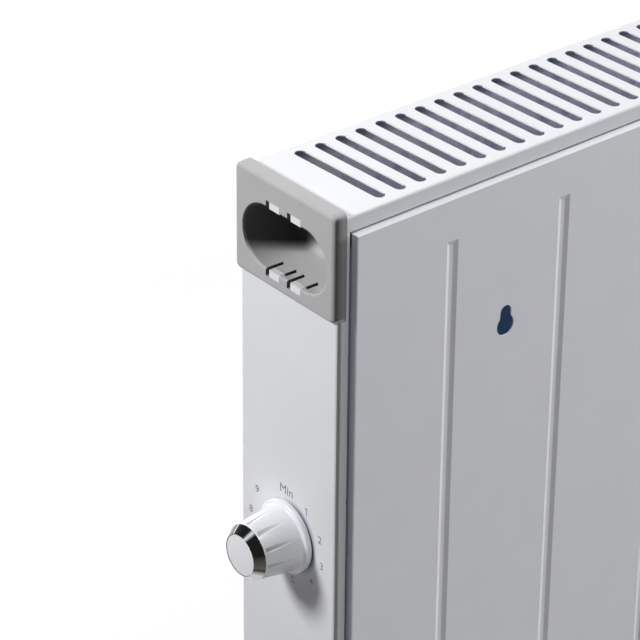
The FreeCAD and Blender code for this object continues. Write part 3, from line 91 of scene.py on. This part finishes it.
def noise(tree, scale, detail=2.0):
    place = tree.nodes.get("Place") or add(tree, "ShaderNodeTexCoord", name="Place")
    node = add(tree, "ShaderNodeTexNoise")
    node.inputs["Scale"].default_value = scale
    node.inputs["Detail"].default_value = detail
    tree.links.new(place.outputs["Object"], node.inputs["Vector"])
    return node.outputs["Fac"]


def ramp(tree, source, stops):
    node = add(tree, "ShaderNodeValToRGB")
    node.color_ramp.elements[0].position, node.color_ramp.elements[0].color = stops[0]
    node.color_ramp.elements[1].position, node.color_ramp.elements[1].color = stops[-1]
    for position, color in stops[1:-1]:
        node.color_ramp.elements.new(position).color = color
    tree.links.new(source, node.inputs["Fac"])
    return node.outputs["Color"]


def grey(value, tint=(1, 1, 1)):
    return (value * tint[0], value * tint[1], value * tint[2], 1)


def spread(tree, source, low, high, start=0.0, stop=1.0):
    """Low up to start, high from stop on."""
    node = add(tree, "ShaderNodeMapRange")
    node.inputs["From Min"].default_value = start
    node.inputs["From Max"].default_value = stop
    node.inputs["To Min"].default_value = low
    node.inputs["To Max"].default_value = high
    tree.links.new(source, node.inputs["Value"])
    return node.outputs["Result"]


def fade(tree, source, start, stop):
    """0 up to start, 1 from stop on."""
    return spread(tree, source, 0.0, 1.0, start, stop)


def math_node(tree, operation, *values):
    """Math node whose inputs are sockets or plain numbers."""
    node = add(tree, "ShaderNodeMath", operation=operation)
    for socket, value in zip(node.inputs, values):
        if isinstance(value, (int, float)):
            socket.default_value = value
        else:
            tree.links.new(value, socket)
    return node.outputs["Value"]


def above(tree, source, level):
    return math_node(tree, "GREATER_THAN", source, level)


def below(tree, source, level):
    return math_node(tree, "LESS_THAN", source, level)


def all_of(tree, *masks):
    total = masks[0]
    for mask in masks[1:]:
        total = math_node(tree, "MULTIPLY", total, mask)
    return total


def parts_of(tree, socket):
    node = add(tree, "ShaderNodeSeparateXYZ")
    tree.links.new(socket, node.inputs[0])
    return node.outputs


def offset_from(tree, spot):
    """Vector from a fixed spot on the part to the point being shaded."""
    node = add(tree, "ShaderNodeVectorMath", operation="SUBTRACT")
    node.inputs[1].default_value = spot
    tree.links.new(tree.nodes["Place"].outputs["Object"], node.inputs[0])
    return node.outputs["Vector"]


def along(tree, socket, way):
    """Length of a vector along a fixed direction or along another vector."""
    node = add(tree, "ShaderNodeVectorMath", operation="DOT_PRODUCT")
    tree.links.new(socket, node.inputs[0])
    if isinstance(way, Vector):
        node.inputs[1].default_value = way
    else:
        tree.links.new(way, node.inputs[1])
    return node.outputs["Value"]


def dial_radius(tree, offset):
    """Distance from the dial's axis."""
    across = math_node(tree, "POWER", along(tree, offset, SIDE), 2.0)
    upward = math_node(tree, "POWER", along(tree, offset, UP), 2.0)
    return math_node(tree, "SQRT", math_node(tree, "ADD", across, upward))


def recolour(tree, mask, colour):
    """Lays a second colour over the base colour where the mask is 1."""
    shader = tree.nodes["Principled BSDF"]
    under = shader.inputs["Base Color"].links[0].from_socket
    mix = add(tree, "ShaderNodeMix", data_type="RGBA")
    mix.inputs["B"].default_value = colour
    tree.links.new(mask, mix.inputs["Factor"])
    tree.links.new(under, mix.inputs["A"])
    tree.links.new(mix.outputs["Result"], shader.inputs["Base Color"])


# Plain materials

def bump(tree, shader, layers):
    """Stacks fine relief: (noise scale, detail, strength, depth in metres) for each layer."""
    last = None
    for scale, detail, strength, depth in layers:
        node = add(tree, "ShaderNodeBump")
        node.inputs["Strength"].default_value = strength
        node.inputs["Distance"].default_value = depth
        tree.links.new(noise(tree, scale, detail), node.inputs["Height"])
        if last:
            tree.links.new(last.outputs["Normal"], node.inputs["Normal"])
        last = node
    tree.links.new(last.outputs["Normal"], shader.inputs["Normal"])


def surface(name, dark, light, rough, layers, colour_scale=40.0, **sockets):
    """Material with a mottled colour, uneven roughness and fine relief."""
    material, tree, shader = new_material(name)
    colour = ramp(tree, noise(tree, colour_scale, 3), [(0.3, dark), (0.7, light)])
    tree.links.new(colour, shader.inputs["Base Color"])
    gloss = spread(tree, noise(tree, 3 * colour_scale, 4), *rough)
    tree.links.new(gloss, shader.inputs["Roughness"])
    for key, value in sockets.items():
        shader.inputs[key.replace("_", " ")].default_value = value
    bump(tree, shader, layers)
    return material


PAINT_RELIEF = [(900.0, 2, 0.05, 0.0002), (2600.0, 2, 0.05, 0.0001)]
GRAIN_RELIEF = [(2400.0, 3, 0.22, 0.0002), (700.0, 2, 0.06, 0.0002)]
GLOSS_RELIEF = [(500.0, 2, 0.01, 0.0002), (90.0, 2, 0.01, 0.001)]
METAL_RELIEF = [(1500.0, 3, 0.1, 0.0001), (300.0, 2, 0.05, 0.0003)]
COOL = (0.95, 0.96, 1.0)
FAINTLY_COOL = (0.99, 0.99, 1.0)
ZINC = (0.97, 0.99, 1.03)

white_paint = surface("white_powder_coat", grey(0.85, COOL), grey(0.87, COOL), (0.28, 0.36), PAINT_RELIEF,
                      Specular_IOR_Level=0.15)
grey_plastic = surface("grey_grained_plastic", grey(0.46, FAINTLY_COOL), grey(0.49, FAINTLY_COOL), (0.5, 0.6),
                       GRAIN_RELIEF, colour_scale=60.0, Specular_IOR_Level=0.12)
white_plastic = surface("white_gloss_plastic", grey(0.92, COOL), grey(0.94, COOL), (0.1, 0.16), GLOSS_RELIEF,
                        Coat_Weight=0.3, Coat_Roughness=0.05)
cap_plastic = surface("pale_cap_plastic", grey(0.88, COOL), grey(0.9, COOL), (0.2, 0.26), GLOSS_RELIEF)
# Chrome; its dark look with glints and tan patches is painted reflection, laid over it in ring_metal
chrome = surface("chrome_trim_painted_reflections", grey(0.9), grey(0.96), (0.03, 0.07), GLOSS_RELIEF, Metallic=1.0)
steel = surface("zinc_plated_steel", grey(0.5, ZINC), grey(0.62, ZINC), (0.3, 0.45), METAL_RELIEF, Metallic=1.0)
aluminium = surface("mill_aluminium", grey(0.62), grey(0.72), (0.3, 0.42), METAL_RELIEF, Metallic=1.0)
ceramic = surface("fired_ceramic", (0.76, 0.72, 0.64, 1), (0.82, 0.79, 0.72, 1), (0.35, 0.5), GRAIN_RELIEF)
dark_plastic = surface("dark_moulded_plastic", grey(0.02), grey(0.028), (0.42, 0.52), GRAIN_RELIEF)
terminal_plastic = surface("pale_terminal_plastic", (0.68, 0.66, 0.6, 1), (0.72, 0.7, 0.64, 1), (0.4, 0.5),
                           GRAIN_RELIEF)
brass = surface("bright_brass", (0.66, 0.47, 0.2, 1), (0.74, 0.55, 0.26, 1), (0.22, 0.34), METAL_RELIEF,
                Metallic=1.0)
rubber = surface("soft_rubber", grey(0.018), grey(0.026), (0.6, 0.75), GRAIN_RELIEF)
ink = surface("grey_scale_ink", grey(0.16), grey(0.2), (0.45, 0.55), PAINT_RELIEF)


# Paint of the casing and its painted shade and light, with depths below its top and pairs of numbers where a
# fade starts and ends

BARE_STEEL = (0.87, 0.9, 1.0, 1)
STREAKED_STEEL = (0.58, 0.61, 0.82, 1)
SHADED_STEEL = (0.24, 0.27, 0.36, 1)
DEEP_SHADE = (0.21, 0.38, 0.68, 1)
GAP_SHADE = (0.19, 0.205, 0.265, 1)
SIDE_GAP_SHADE = (0.6, 0.61, 0.76, 1)
END_WALL_LIGHT = (0.86, 0.93, 1.0, 1)
TOP_EDGE_HIGHLIGHT = (0.97, 0.985, 1.0, 1)
SEAM_SHADE = (0.36, 0.36, 0.375, 1)
CONTACT_SHADE = (0.26, 0.29, 0.39, 1)
FLANGE_SHADE = grey(0.79, COOL)
FLANGE_LOW_SHADE = grey(0.7, COOL)
INSIDE_LEVEL = -0.001           # outward measure of a face that looks into the casing
STREAK_SCALE = 120.0
STREAK_FADE = (0.5, 0.7)
UNDER_TOP_FADE = (Z_TOP - 0.013, Z_TOP - 0.006)
DEEP_SHADE_FADE = (Z_TOP - 0.09, Z_TOP - 0.12)
REAR_SKIN = 0.0003              # what lies deeper than this behind the rear face is sunk
FLANGE_TURN = (0.5, 0.9)
FLANGE_LOW_FADE = (Z_TOP - 0.0045, Z_TOP - 0.0085)
FACES_IN = -0.2
FACES_OUT = 0.5
TOP_EDGE_TURN = (0.15, 0.5)
SIDE_LAP_FADE = (Z_TOP - 0.016, Z_TOP - 0.022)
SEAM_INSET = -0.0014            # middle of the seam, from the end panel's outer corner
SEAM_HALF = 0.0009
SEAM_DEPTH = -0.00075
SKIRT_EDGE = 0.0213             # radius of the knob's skirt
SKIRT_SHADE = 0.0035
SKIRT_SHADE_WAY = Vector((0, 0.95, 0.3))
SKIRT_SHADE_FADE = (0.002, 0.016)


def paint_copy(name):
    """Copy of the powder coat, with the place and the normal of the point being shaded."""
    material = white_paint.copy()
    material.name = name
    tree = material.node_tree
    place = tree.nodes["Place"]
    return material, tree, parts_of(tree, place.outputs["Object"]), parts_of(tree, place.outputs["Normal"])


def wrapper_paint():
    """Powder coat outside, bare bluish steel on the faces that look into the casing, with painted shade just
    under the top and deep inside, and painted shade on the rear flange, darker towards its lower edge.
    """
    material, tree, spot, normal = paint_copy("white_powder_coat_wrapper")
    rise = math_node(tree, "SUBTRACT", spot["Z"], SHELL_MIDDLE.z)
    upright = math_node(tree, "MULTIPLY", rise, normal["Z"])
    across = math_node(tree, "MULTIPLY", spot["Y"], normal["Y"])
    inside = below(tree, math_node(tree, "ADD", upright, across), INSIDE_LEVEL)
    recolour(tree, inside, BARE_STEEL)
    streaks = fade(tree, noise(tree, STREAK_SCALE, 3), *STREAK_FADE)
    recolour(tree, all_of(tree, inside, streaks), STREAKED_STEEL)
    # Painted shade on the inside faces just under the top sheet
    recolour(tree, all_of(tree, inside, fade(tree, spot["Z"], *UNDER_TOP_FADE)), SHADED_STEEL)
    # Painted bluish shade on the inside faces, fading in from 9 to 12 cm below the top
    recolour(tree, all_of(tree, inside, fade(tree, spot["Z"], *DEEP_SHADE_FADE)), DEEP_SHADE)
    # Painted shade on the outer face of the rear flange, darker towards its lower edge
    outer = above(tree, spot["Y"], Y_REAR - REAR_SKIN)
    on_flange = all_of(tree, outer, fade(tree, normal["Y"], *FLANGE_TURN))
    recolour(tree, on_flange, FLANGE_SHADE)
    recolour(tree, all_of(tree, on_flange, fade(tree, spot["Z"], *FLANGE_LOW_FADE)), FLANGE_LOW_SHADE)
    return material


def rear_paint():
    """Powder coat on the raised field, bare steel behind it, painted shade on the laps under the flanges and in
    the side gaps, painted light on the field's end walls and a painted highlight along its top edge.
    """
    material, tree, spot, normal = paint_copy("white_powder_coat_rear")
    recolour(tree, below(tree, normal["Y"], FACES_IN), BARE_STEEL)
    sunk = below(tree, spot["Y"], Y_REAR - REAR_SKIN)
    # Painted shade on the sunk laps under the flanges
    recolour(tree, all_of(tree, sunk, above(tree, normal["Y"], FACES_OUT)), GAP_SHADE)
    faces_end = above(tree, math_node(tree, "ABSOLUTE", normal["X"]), FACES_OUT)
    # Painted light, lighter and bluer, on faces turned to the ends
    recolour(tree, faces_end, END_WALL_LIGHT)
    # Painted highlight on faces turned upwards, such as the field's top edge
    recolour(tree, fade(tree, normal["Z"], *TOP_EDGE_TURN), TOP_EDGE_HIGHLIGHT)
    # Painted shade on the end walls sunk in the side gaps
    recolour(tree, all_of(tree, sunk, faces_end), GAP_SHADE)
    # Lighter painted shade on the sunk laps and walls along the sides
    side_lap = all_of(tree, sunk, fade(tree, spot["Z"], *SIDE_LAP_FADE), above(tree, normal["Y"], FACES_IN))
    recolour(tree, side_lap, SIDE_GAP_SHADE)
    return material


def panel_paint(name, corner, out, side):
    """Powder coat with painted shade along the seam at the rear edge."""
    material, tree, _, _ = paint_copy(name)
    offset = offset_from(tree, corner)
    # Painted shade in a narrow band along the rear edge
    in_seam = math_node(tree, "COMPARE", along(tree, offset, out), SEAM_INSET, SEAM_HALF)
    shallow = above(tree, along(tree, offset, side), SEAM_DEPTH)
    recolour(tree, all_of(tree, in_seam, shallow), SEAM_SHADE)
    return material


def shade_by_skirt(material):
    """Narrow shade on the panel along the rear side of the knob's skirt."""
    tree = material.node_tree
    offset = offset_from(tree, DIAL)
    near_skirt = fade(tree, dial_radius(tree, offset), SKIRT_EDGE + SKIRT_SHADE, SKIRT_EDGE)
    on_side = fade(tree, along(tree, offset, SKIRT_SHADE_WAY), *SKIRT_SHADE_FADE)
    recolour(tree, all_of(tree, near_skirt, on_side), CONTACT_SHADE)
    return material


# Plastic of the handle cups with its painted light and shade, with distances from the middle of the pocket's
# mouth

POCKET_LIGHT = grey(0.52)
POCKET_REAR_LIGHT = grey(0.61)
POCKET_SHADE = grey(0.06)
RIM_SHADE = grey(0.31)
RIM_EDGE_SHADE = grey(0.08)
SLIT_SHADE = (0.012, 0.013, 0.025, 1)
CHEEK_SHADE = grey(0.07)
FACES_MIDDLE_FADE = (-0.001, -0.006)
POCKET_DEPTH_FADE = (-0.002, -0.006)
POCKET_REAR_FADE = (-0.008, 0.008)
SHADE_WAY = Vector((-0.312, -0.375, 0.873))
SHADE_SIDE = Vector((-0.76, 0.65, 0.008))
SHADE_RISE_FADE = (-0.0012, 0.0055)
SHADE_END_FADE = (0.016, 0.01)
RIM_REACH = 0.036
RIM_TURN = (0.75, 0.98)
RIM_EDGE_FADE = (-0.005, -0.001)
SLIT_DEPTH = -0.0012
SLIT_START = POCKET_RADIUS + 0.0002
SLIT_STOP = POCKET_RADIUS + 0.0042
CLIPS_REACH = 0.02
SLIT_TURN = 0.6
CHEEK_TURN = 0.7


def cup_plastic(name, mouth, out, shade_way, shade_side):
    """Grained grey plastic, with painted light low in the hand pocket, painted shade up in the pocket and on
    the rear rim, and near black painted shade in and beside the snap slits.
    """
    material = grey_plastic.copy()
    material.name = name
    tree = material.node_tree
    normal = tree.nodes["Place"].outputs["Normal"]
    offset = offset_from(tree, mouth)
    depth = along(tree, offset, out)
    inward = fade(tree, along(tree, offset, normal), *FACES_MIDDLE_FADE)
    pocket = all_of(tree, inward, fade(tree, depth, *POCKET_DEPTH_FADE))
    rise = along(tree, offset, shade_way)
    aside = along(tree, offset, shade_side)
    # Painted light low in the hand pocket, lighter still towards its rear end; painted shade up in it
    recolour(tree, pocket, POCKET_LIGHT)
    recolour(tree, all_of(tree, pocket, fade(tree, aside, *POCKET_REAR_FADE)), POCKET_REAR_LIGHT)
    before_end = fade(tree, aside, *SHADE_END_FADE)
    recolour(tree, all_of(tree, inward, before_end, fade(tree, rise, *SHADE_RISE_FADE)), POCKET_SHADE)

    # Painted shade on the cup's rear rim, darkest towards the outside
    at_rear = above(tree, along(tree, offset, SIDE), RIM_REACH)
    rear_rim = all_of(tree, at_rear, fade(tree, along(tree, normal, SIDE), *RIM_TURN))
    recolour(tree, rear_rim, RIM_SHADE)
    recolour(tree, all_of(tree, rear_rim, fade(tree, depth, *RIM_EDGE_FADE)), RIM_EDGE_SHADE)

    spot = parts_of(tree, offset)
    height = math_node(tree, "ABSOLUTE", spot["Z"])
    breadth = math_node(tree, "ABSOLUTE", spot["Y"])
    by_clips = all_of(tree, below(tree, height, SLIT_STOP), below(tree, breadth, CLIPS_REACH))
    past_wall = above(tree, height, SLIT_START)
    turned = below(tree, along(tree, normal, out), SLIT_TURN)
    recolour(tree, all_of(tree, past_wall, by_clips, turned, below(tree, depth, SLIT_DEPTH)), SLIT_SHADE)
    cheek = above(tree, along(tree, normal, SIDE), CHEEK_TURN)
    recolour(tree, all_of(tree, cheek, by_clips), CHEEK_SHADE)
    return material


# Looks of the knob and its ring

GRIP_START = 0.0038         # grip's lower end, from the end panel's face
GRIP_BASE = 0.019           # grip's radius there
GRIP_SLOPE = 0.138
GRIP_MARGIN = 0.001
FLUTE_SHADE = grey(0.5, COOL)
FLUTE_FADE = (0.0001, 0.0007)
TAN = (1.0, 0.92, 0.78)
PALE = (0.92, 0.96, 1.0)
RING_REFLECTIONS = [
    (0.0, grey(0.16, TAN)), (0.12, grey(0.04)), (0.37, grey(0.02)), (0.385, grey(0.5)), (0.4, grey(0.015)),
    (0.53, grey(0.012)), (0.55, grey(0.8, PALE)), (0.572, grey(0.012)), (0.69, grey(0.012)),
    (0.73, grey(0.06, TAN)), (0.78, grey(0.1, TAN)), (0.795, grey(0.015)), (0.812, grey(0.25, TAN)),
    (0.85, grey(0.6)), (1.0, grey(0.16, TAN)),
]


def knob_plastic():
    """Gloss white plastic, with painted shade down in the flutes of the grip."""
    tree = white_plastic.node_tree
    offset = offset_from(tree, DIAL)
    height = along(tree, offset, OUT)
    taper = math_node(tree, "MULTIPLY", math_node(tree, "SUBTRACT", height, GRIP_START), GRIP_SLOPE)
    grip = math_node(tree, "SUBTRACT", GRIP_BASE, taper)
    depth = math_node(tree, "SUBTRACT", grip, dial_radius(tree, offset))
    on_grip = above(tree, height, GRIP_START + GRIP_MARGIN)
    # Painted shade down in the grip's flutes
    recolour(tree, all_of(tree, on_grip, fade(tree, depth, *FLUTE_FADE)), FLUTE_SHADE)
    return white_plastic


def ring_metal():
    """Chrome with painted reflections: dark, with glints and lighter and tan patches round the dial."""
    tree = chrome.node_tree
    shader = tree.nodes["Principled BSDF"]
    offset = offset_from(tree, DIAL)
    # Painted reflections, set by the angle round the dial
    angle = math_node(tree, "ARCTAN2", along(tree, offset, SIDE), along(tree, offset, UP))
    reflections = ramp(tree, fade(tree, angle, -math.pi, math.pi), RING_REFLECTIONS)
    mix = add(tree, "ShaderNodeMix", data_type="RGBA", blend_type="MULTIPLY")
    mix.inputs["Factor"].default_value = 1.0
    tree.links.new(shader.inputs["Base Color"].links[0].from_socket, mix.inputs["A"])
    tree.links.new(reflections, mix.inputs["B"])
    tree.links.new(mix.outputs["Result"], shader.inputs["Base Color"])
    return chrome


# Looks of all nodes; those not named here are plated steel

control_paint = panel_paint("white_powder_coat_control", CORNER, OUT, SIDE)
plain_paint = panel_paint("white_powder_coat_plain", at_plain_end(CORNER), mirrored(OUT), mirrored(SIDE))
control_cup = cup_plastic("grey_cup_plastic_control", POCKET_MOUTH, OUT, SHADE_WAY, SHADE_SIDE)
plain_cup = cup_plastic("grey_cup_plastic_plain", at_plain_end(POCKET_MOUTH), mirrored(OUT),
                        mirrored(SHADE_WAY), mirrored(SHADE_SIDE))
LOOKS = {
    "casing_wrapper": wrapper_paint(),
    "control_end_panel": shade_by_skirt(control_paint),
    "plain_end_panel": plain_paint,
    "rear_panel": rear_paint(),
    "base_plate": white_paint,
    "control_end_frame": white_paint,
    "plain_end_frame": white_paint,
    "control_handle_cup": control_cup,
    "plain_handle_cup": plain_cup,
    "control_foot": grey_plastic,
    "plain_foot": grey_plastic,
    "knob_body": knob_plastic(),
    "knob_cap": cap_plastic,
    "knob_trim_ring": ring_metal(),
    "element_profile": aluminium,
    "heat_shield": aluminium,
    "element_bushes": ceramic,
    "thermostat_housing": dark_plastic,
    "thermal_cutout": dark_plastic,
    "cable_gland": dark_plastic,
    "gland_nut": dark_plastic,
    "lead_clamp_base": dark_plastic,
    "lead_clamp_strap": dark_plastic,
    "terminal_block": terminal_plastic,
    "thermostat_terminals": brass,
    "cutout_terminals": brass,
    "terminal_block_screws": brass,
    "earth_terminal": brass,
    "wiring": rubber,
    "wiring_grommets": rubber,
    "foot_pads": rubber,
}
for name, node in nodes.items():
    node.data.materials.clear()
    node.data.materials.append(LOOKS.get(name, steel))


# Scale printed round the knob

SCALE_WIDE = 0.031          # half the width of the scale's oval
SCALE_TALL = 0.0272         # half its height
SCALE_SIDE = -0.00145       # its middle, from the dial's axis
SCALE_STEP = math.radians(33.9)
DIGIT = 0.0064
WORD = 0.0078
INK_HALF = 0.00002          # half the thickness of the print
INK_LIFT = 0.00003
ONE_OUTLINE = [(0.06, -0.36), (0.06, 0.36), (-0.01, 0.36), (-0.19, 0.2), (-0.19, 0.12), (-0.03, 0.22),
               (-0.03, -0.36)]
FLAT_ON_END = Matrix((SIDE, UP, OUT)).transposed().to_4x4()


def place_mark(name, data, angle):
    """Sets a mark on the end panel, at its angle on the scale."""
    across = SCALE_SIDE + SCALE_WIDE * math.sin(angle)
    place = DIAL + OUT * INK_LIFT + SIDE * across + UP * (SCALE_TALL * math.cos(angle))
    mark = bpy.data.objects.new(name, data)
    scene.collection.objects.link(mark)
    mark.matrix_world = Matrix.Translation(place) @ FLAT_ON_END
    data.materials.append(ink)
    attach(mark, "heater")


def print_mark(label, angle, size):
    curve = bpy.data.curves.new("mark_" + label, "FONT")
    curve.body = label
    curve.size = size
    curve.align_x = "CENTER"
    curve.align_y = "CENTER"
    curve.extrude = INK_HALF
    place_mark("mark_" + label, curve, angle)


def print_one(angle, size):
    """Figure one with a flag, drawn as its own outline."""
    count = len(ONE_OUTLINE)
    points = [(x * size, y * size, z) for z in (INK_HALF, -INK_HALF) for x, y in ONE_OUTLINE]
    faces = [tuple(range(count)), tuple(reversed(range(count, 2 * count)))]
    faces += [(k, k + count, (k + 1) % count + count, (k + 1) % count) for k in range(count)]
    mesh = bpy.data.meshes.new("mark_1")
    mesh.from_pydata(points, [], faces)
    place_mark("mark_1", mesh, angle)


print_mark("Min", 0.0, WORD)
print_one(SCALE_STEP, DIGIT)
for number in range(2, 10):
    print_mark(str(number), SCALE_STEP * number, DIGIT)


# Floor and backdrop

FLOOR_REACH = 30.0
FLOOR_LEVEL = -0.0003
FLOOR_GREY = 0.16
FLOOR_GLOW = (0.84, 1.0)        # near the heater and far from it
FLOOR_GLOW_RANGE = (0.6, 1.4)
WORLD_LIGHT = 0.02


def background_rays(tree):
    """1 for the rays that see the white background, straight, in metal or through glass."""
    rays = add(tree, "ShaderNodeLightPath").outputs
    seen = math_node(tree, "MAXIMUM", rays["Is Camera Ray"], rays["Is Glossy Ray"])
    return math_node(tree, "MAXIMUM", seen, rays["Is Transmission Ray"])


def make_floor():
    mesh = bpy.data.meshes.new("floor")
    corners = [(-1, -1), (1, -1), (1, 1), (-1, 1)]
    mesh.from_pydata([(x * FLOOR_REACH, y * FLOOR_REACH, FLOOR_LEVEL) for x, y in corners], [], [(0, 1, 2, 3)])
    floor = bpy.data.objects.new("floor", mesh)
    scene.collection.objects.link(floor)
    material, tree, shader = new_material("pale_floor")
    shader.inputs["Base Color"].default_value = grey(FLOOR_GREY)
    shader.inputs["Roughness"].default_value = 0.9
    shader.inputs["Specular IOR Level"].default_value = 0.0
    shader.inputs["Emission Color"].default_value = grey(1)
    place = add(tree, "ShaderNodeTexCoord")
    far = add(tree, "ShaderNodeVectorMath", operation="LENGTH")
    tree.links.new(place.outputs["Object"], far.inputs[0])
    strength = spread(tree, far.outputs["Value"], *FLOOR_GLOW, *FLOOR_GLOW_RANGE)
    glow = math_node(tree, "MULTIPLY", background_rays(tree), strength)
    tree.links.new(glow, shader.inputs["Emission Strength"])
    mesh.materials.append(material)


def make_world():
    world = bpy.data.worlds.new("studio")
    scene.world = world
    world.use_nodes = True
    tree = world.node_tree
    backing = tree.nodes["Background"]
    backing.inputs["Color"].default_value = grey(1)
    tree.links.new(spread(tree, background_rays(tree), WORLD_LIGHT, 1.0), backing.inputs["Strength"])


make_floor()
make_world()


# Lamps

CONTROL_END = (0.345, 0.0, 0.3)
SLOTTED_TOP = (0.1, 0.0, 0.43)
REAR_FIELD = (0.1, 0.04, 0.25)
FRONT_WALL = (0.0, 0.0, 0.25)


def soft_box(name, place, target, width, height, power):
    lamp = bpy.data.lights.new(name, "AREA")
    lamp.shape = "RECTANGLE"
    lamp.size = width
    lamp.size_y = height
    lamp.energy = power
    holder = bpy.data.objects.new(name, lamp)
    scene.collection.objects.link(holder)
    holder.location = place
    holder.rotation_mode = "QUATERNION"
    holder.rotation_quaternion = (Vector(target) - Vector(place)).to_track_quat("-Z", "Y")
    holder.visible_camera = False


soft_box("key_box", (1.265, -0.51, 1.06), CONTROL_END, width=0.3, height=0.34, power=15.0)
soft_box("top_box", (-0.4, 0.4, 2.1), SLOTTED_TOP, width=1.0, height=0.8, power=16.0)
soft_box("rear_box", (-2.89, 1.19, 1.15), REAR_FIELD, width=0.8, height=0.8, power=73.0)
soft_box("rear_fill", (0.9, 2.5, 1.3), REAR_FIELD, width=1.6, height=1.2, power=13.6)
soft_box("front_box", (-0.4, -3.2, 0.85), FRONT_WALL, width=1.5, height=1.3, power=56.0)


# Camera at the photograph's viewpoint

RIGHT = Vector((-0.76005, 0.64982, 0.008)).normalized()
AHEAD = Vector((-0.57018, -0.66089, -0.48797)).normalized()
EYE = CORNER + Vector((0.93601, 1.07124, 0.73904))
FOCAL_LENGTH = 181.26       # millimetres
SENSOR_WIDTH = 36.0


def make_camera():
    lens = bpy.data.cameras.new("photo_camera")
    lens.lens = FOCAL_LENGTH
    lens.sensor_width = SENSOR_WIDTH
    lens.clip_start = 0.05
    lens.clip_end = 100.0
    camera = bpy.data.objects.new("photo_camera", lens)
    scene.collection.objects.link(camera)
    turn = Matrix((RIGHT, RIGHT.cross(AHEAD), -AHEAD)).transposed().to_4x4()
    camera.matrix_world = Matrix.Translation(EYE) @ turn
    scene.camera = camera


make_camera()
scene.view_settings.view_transform = "Standard"
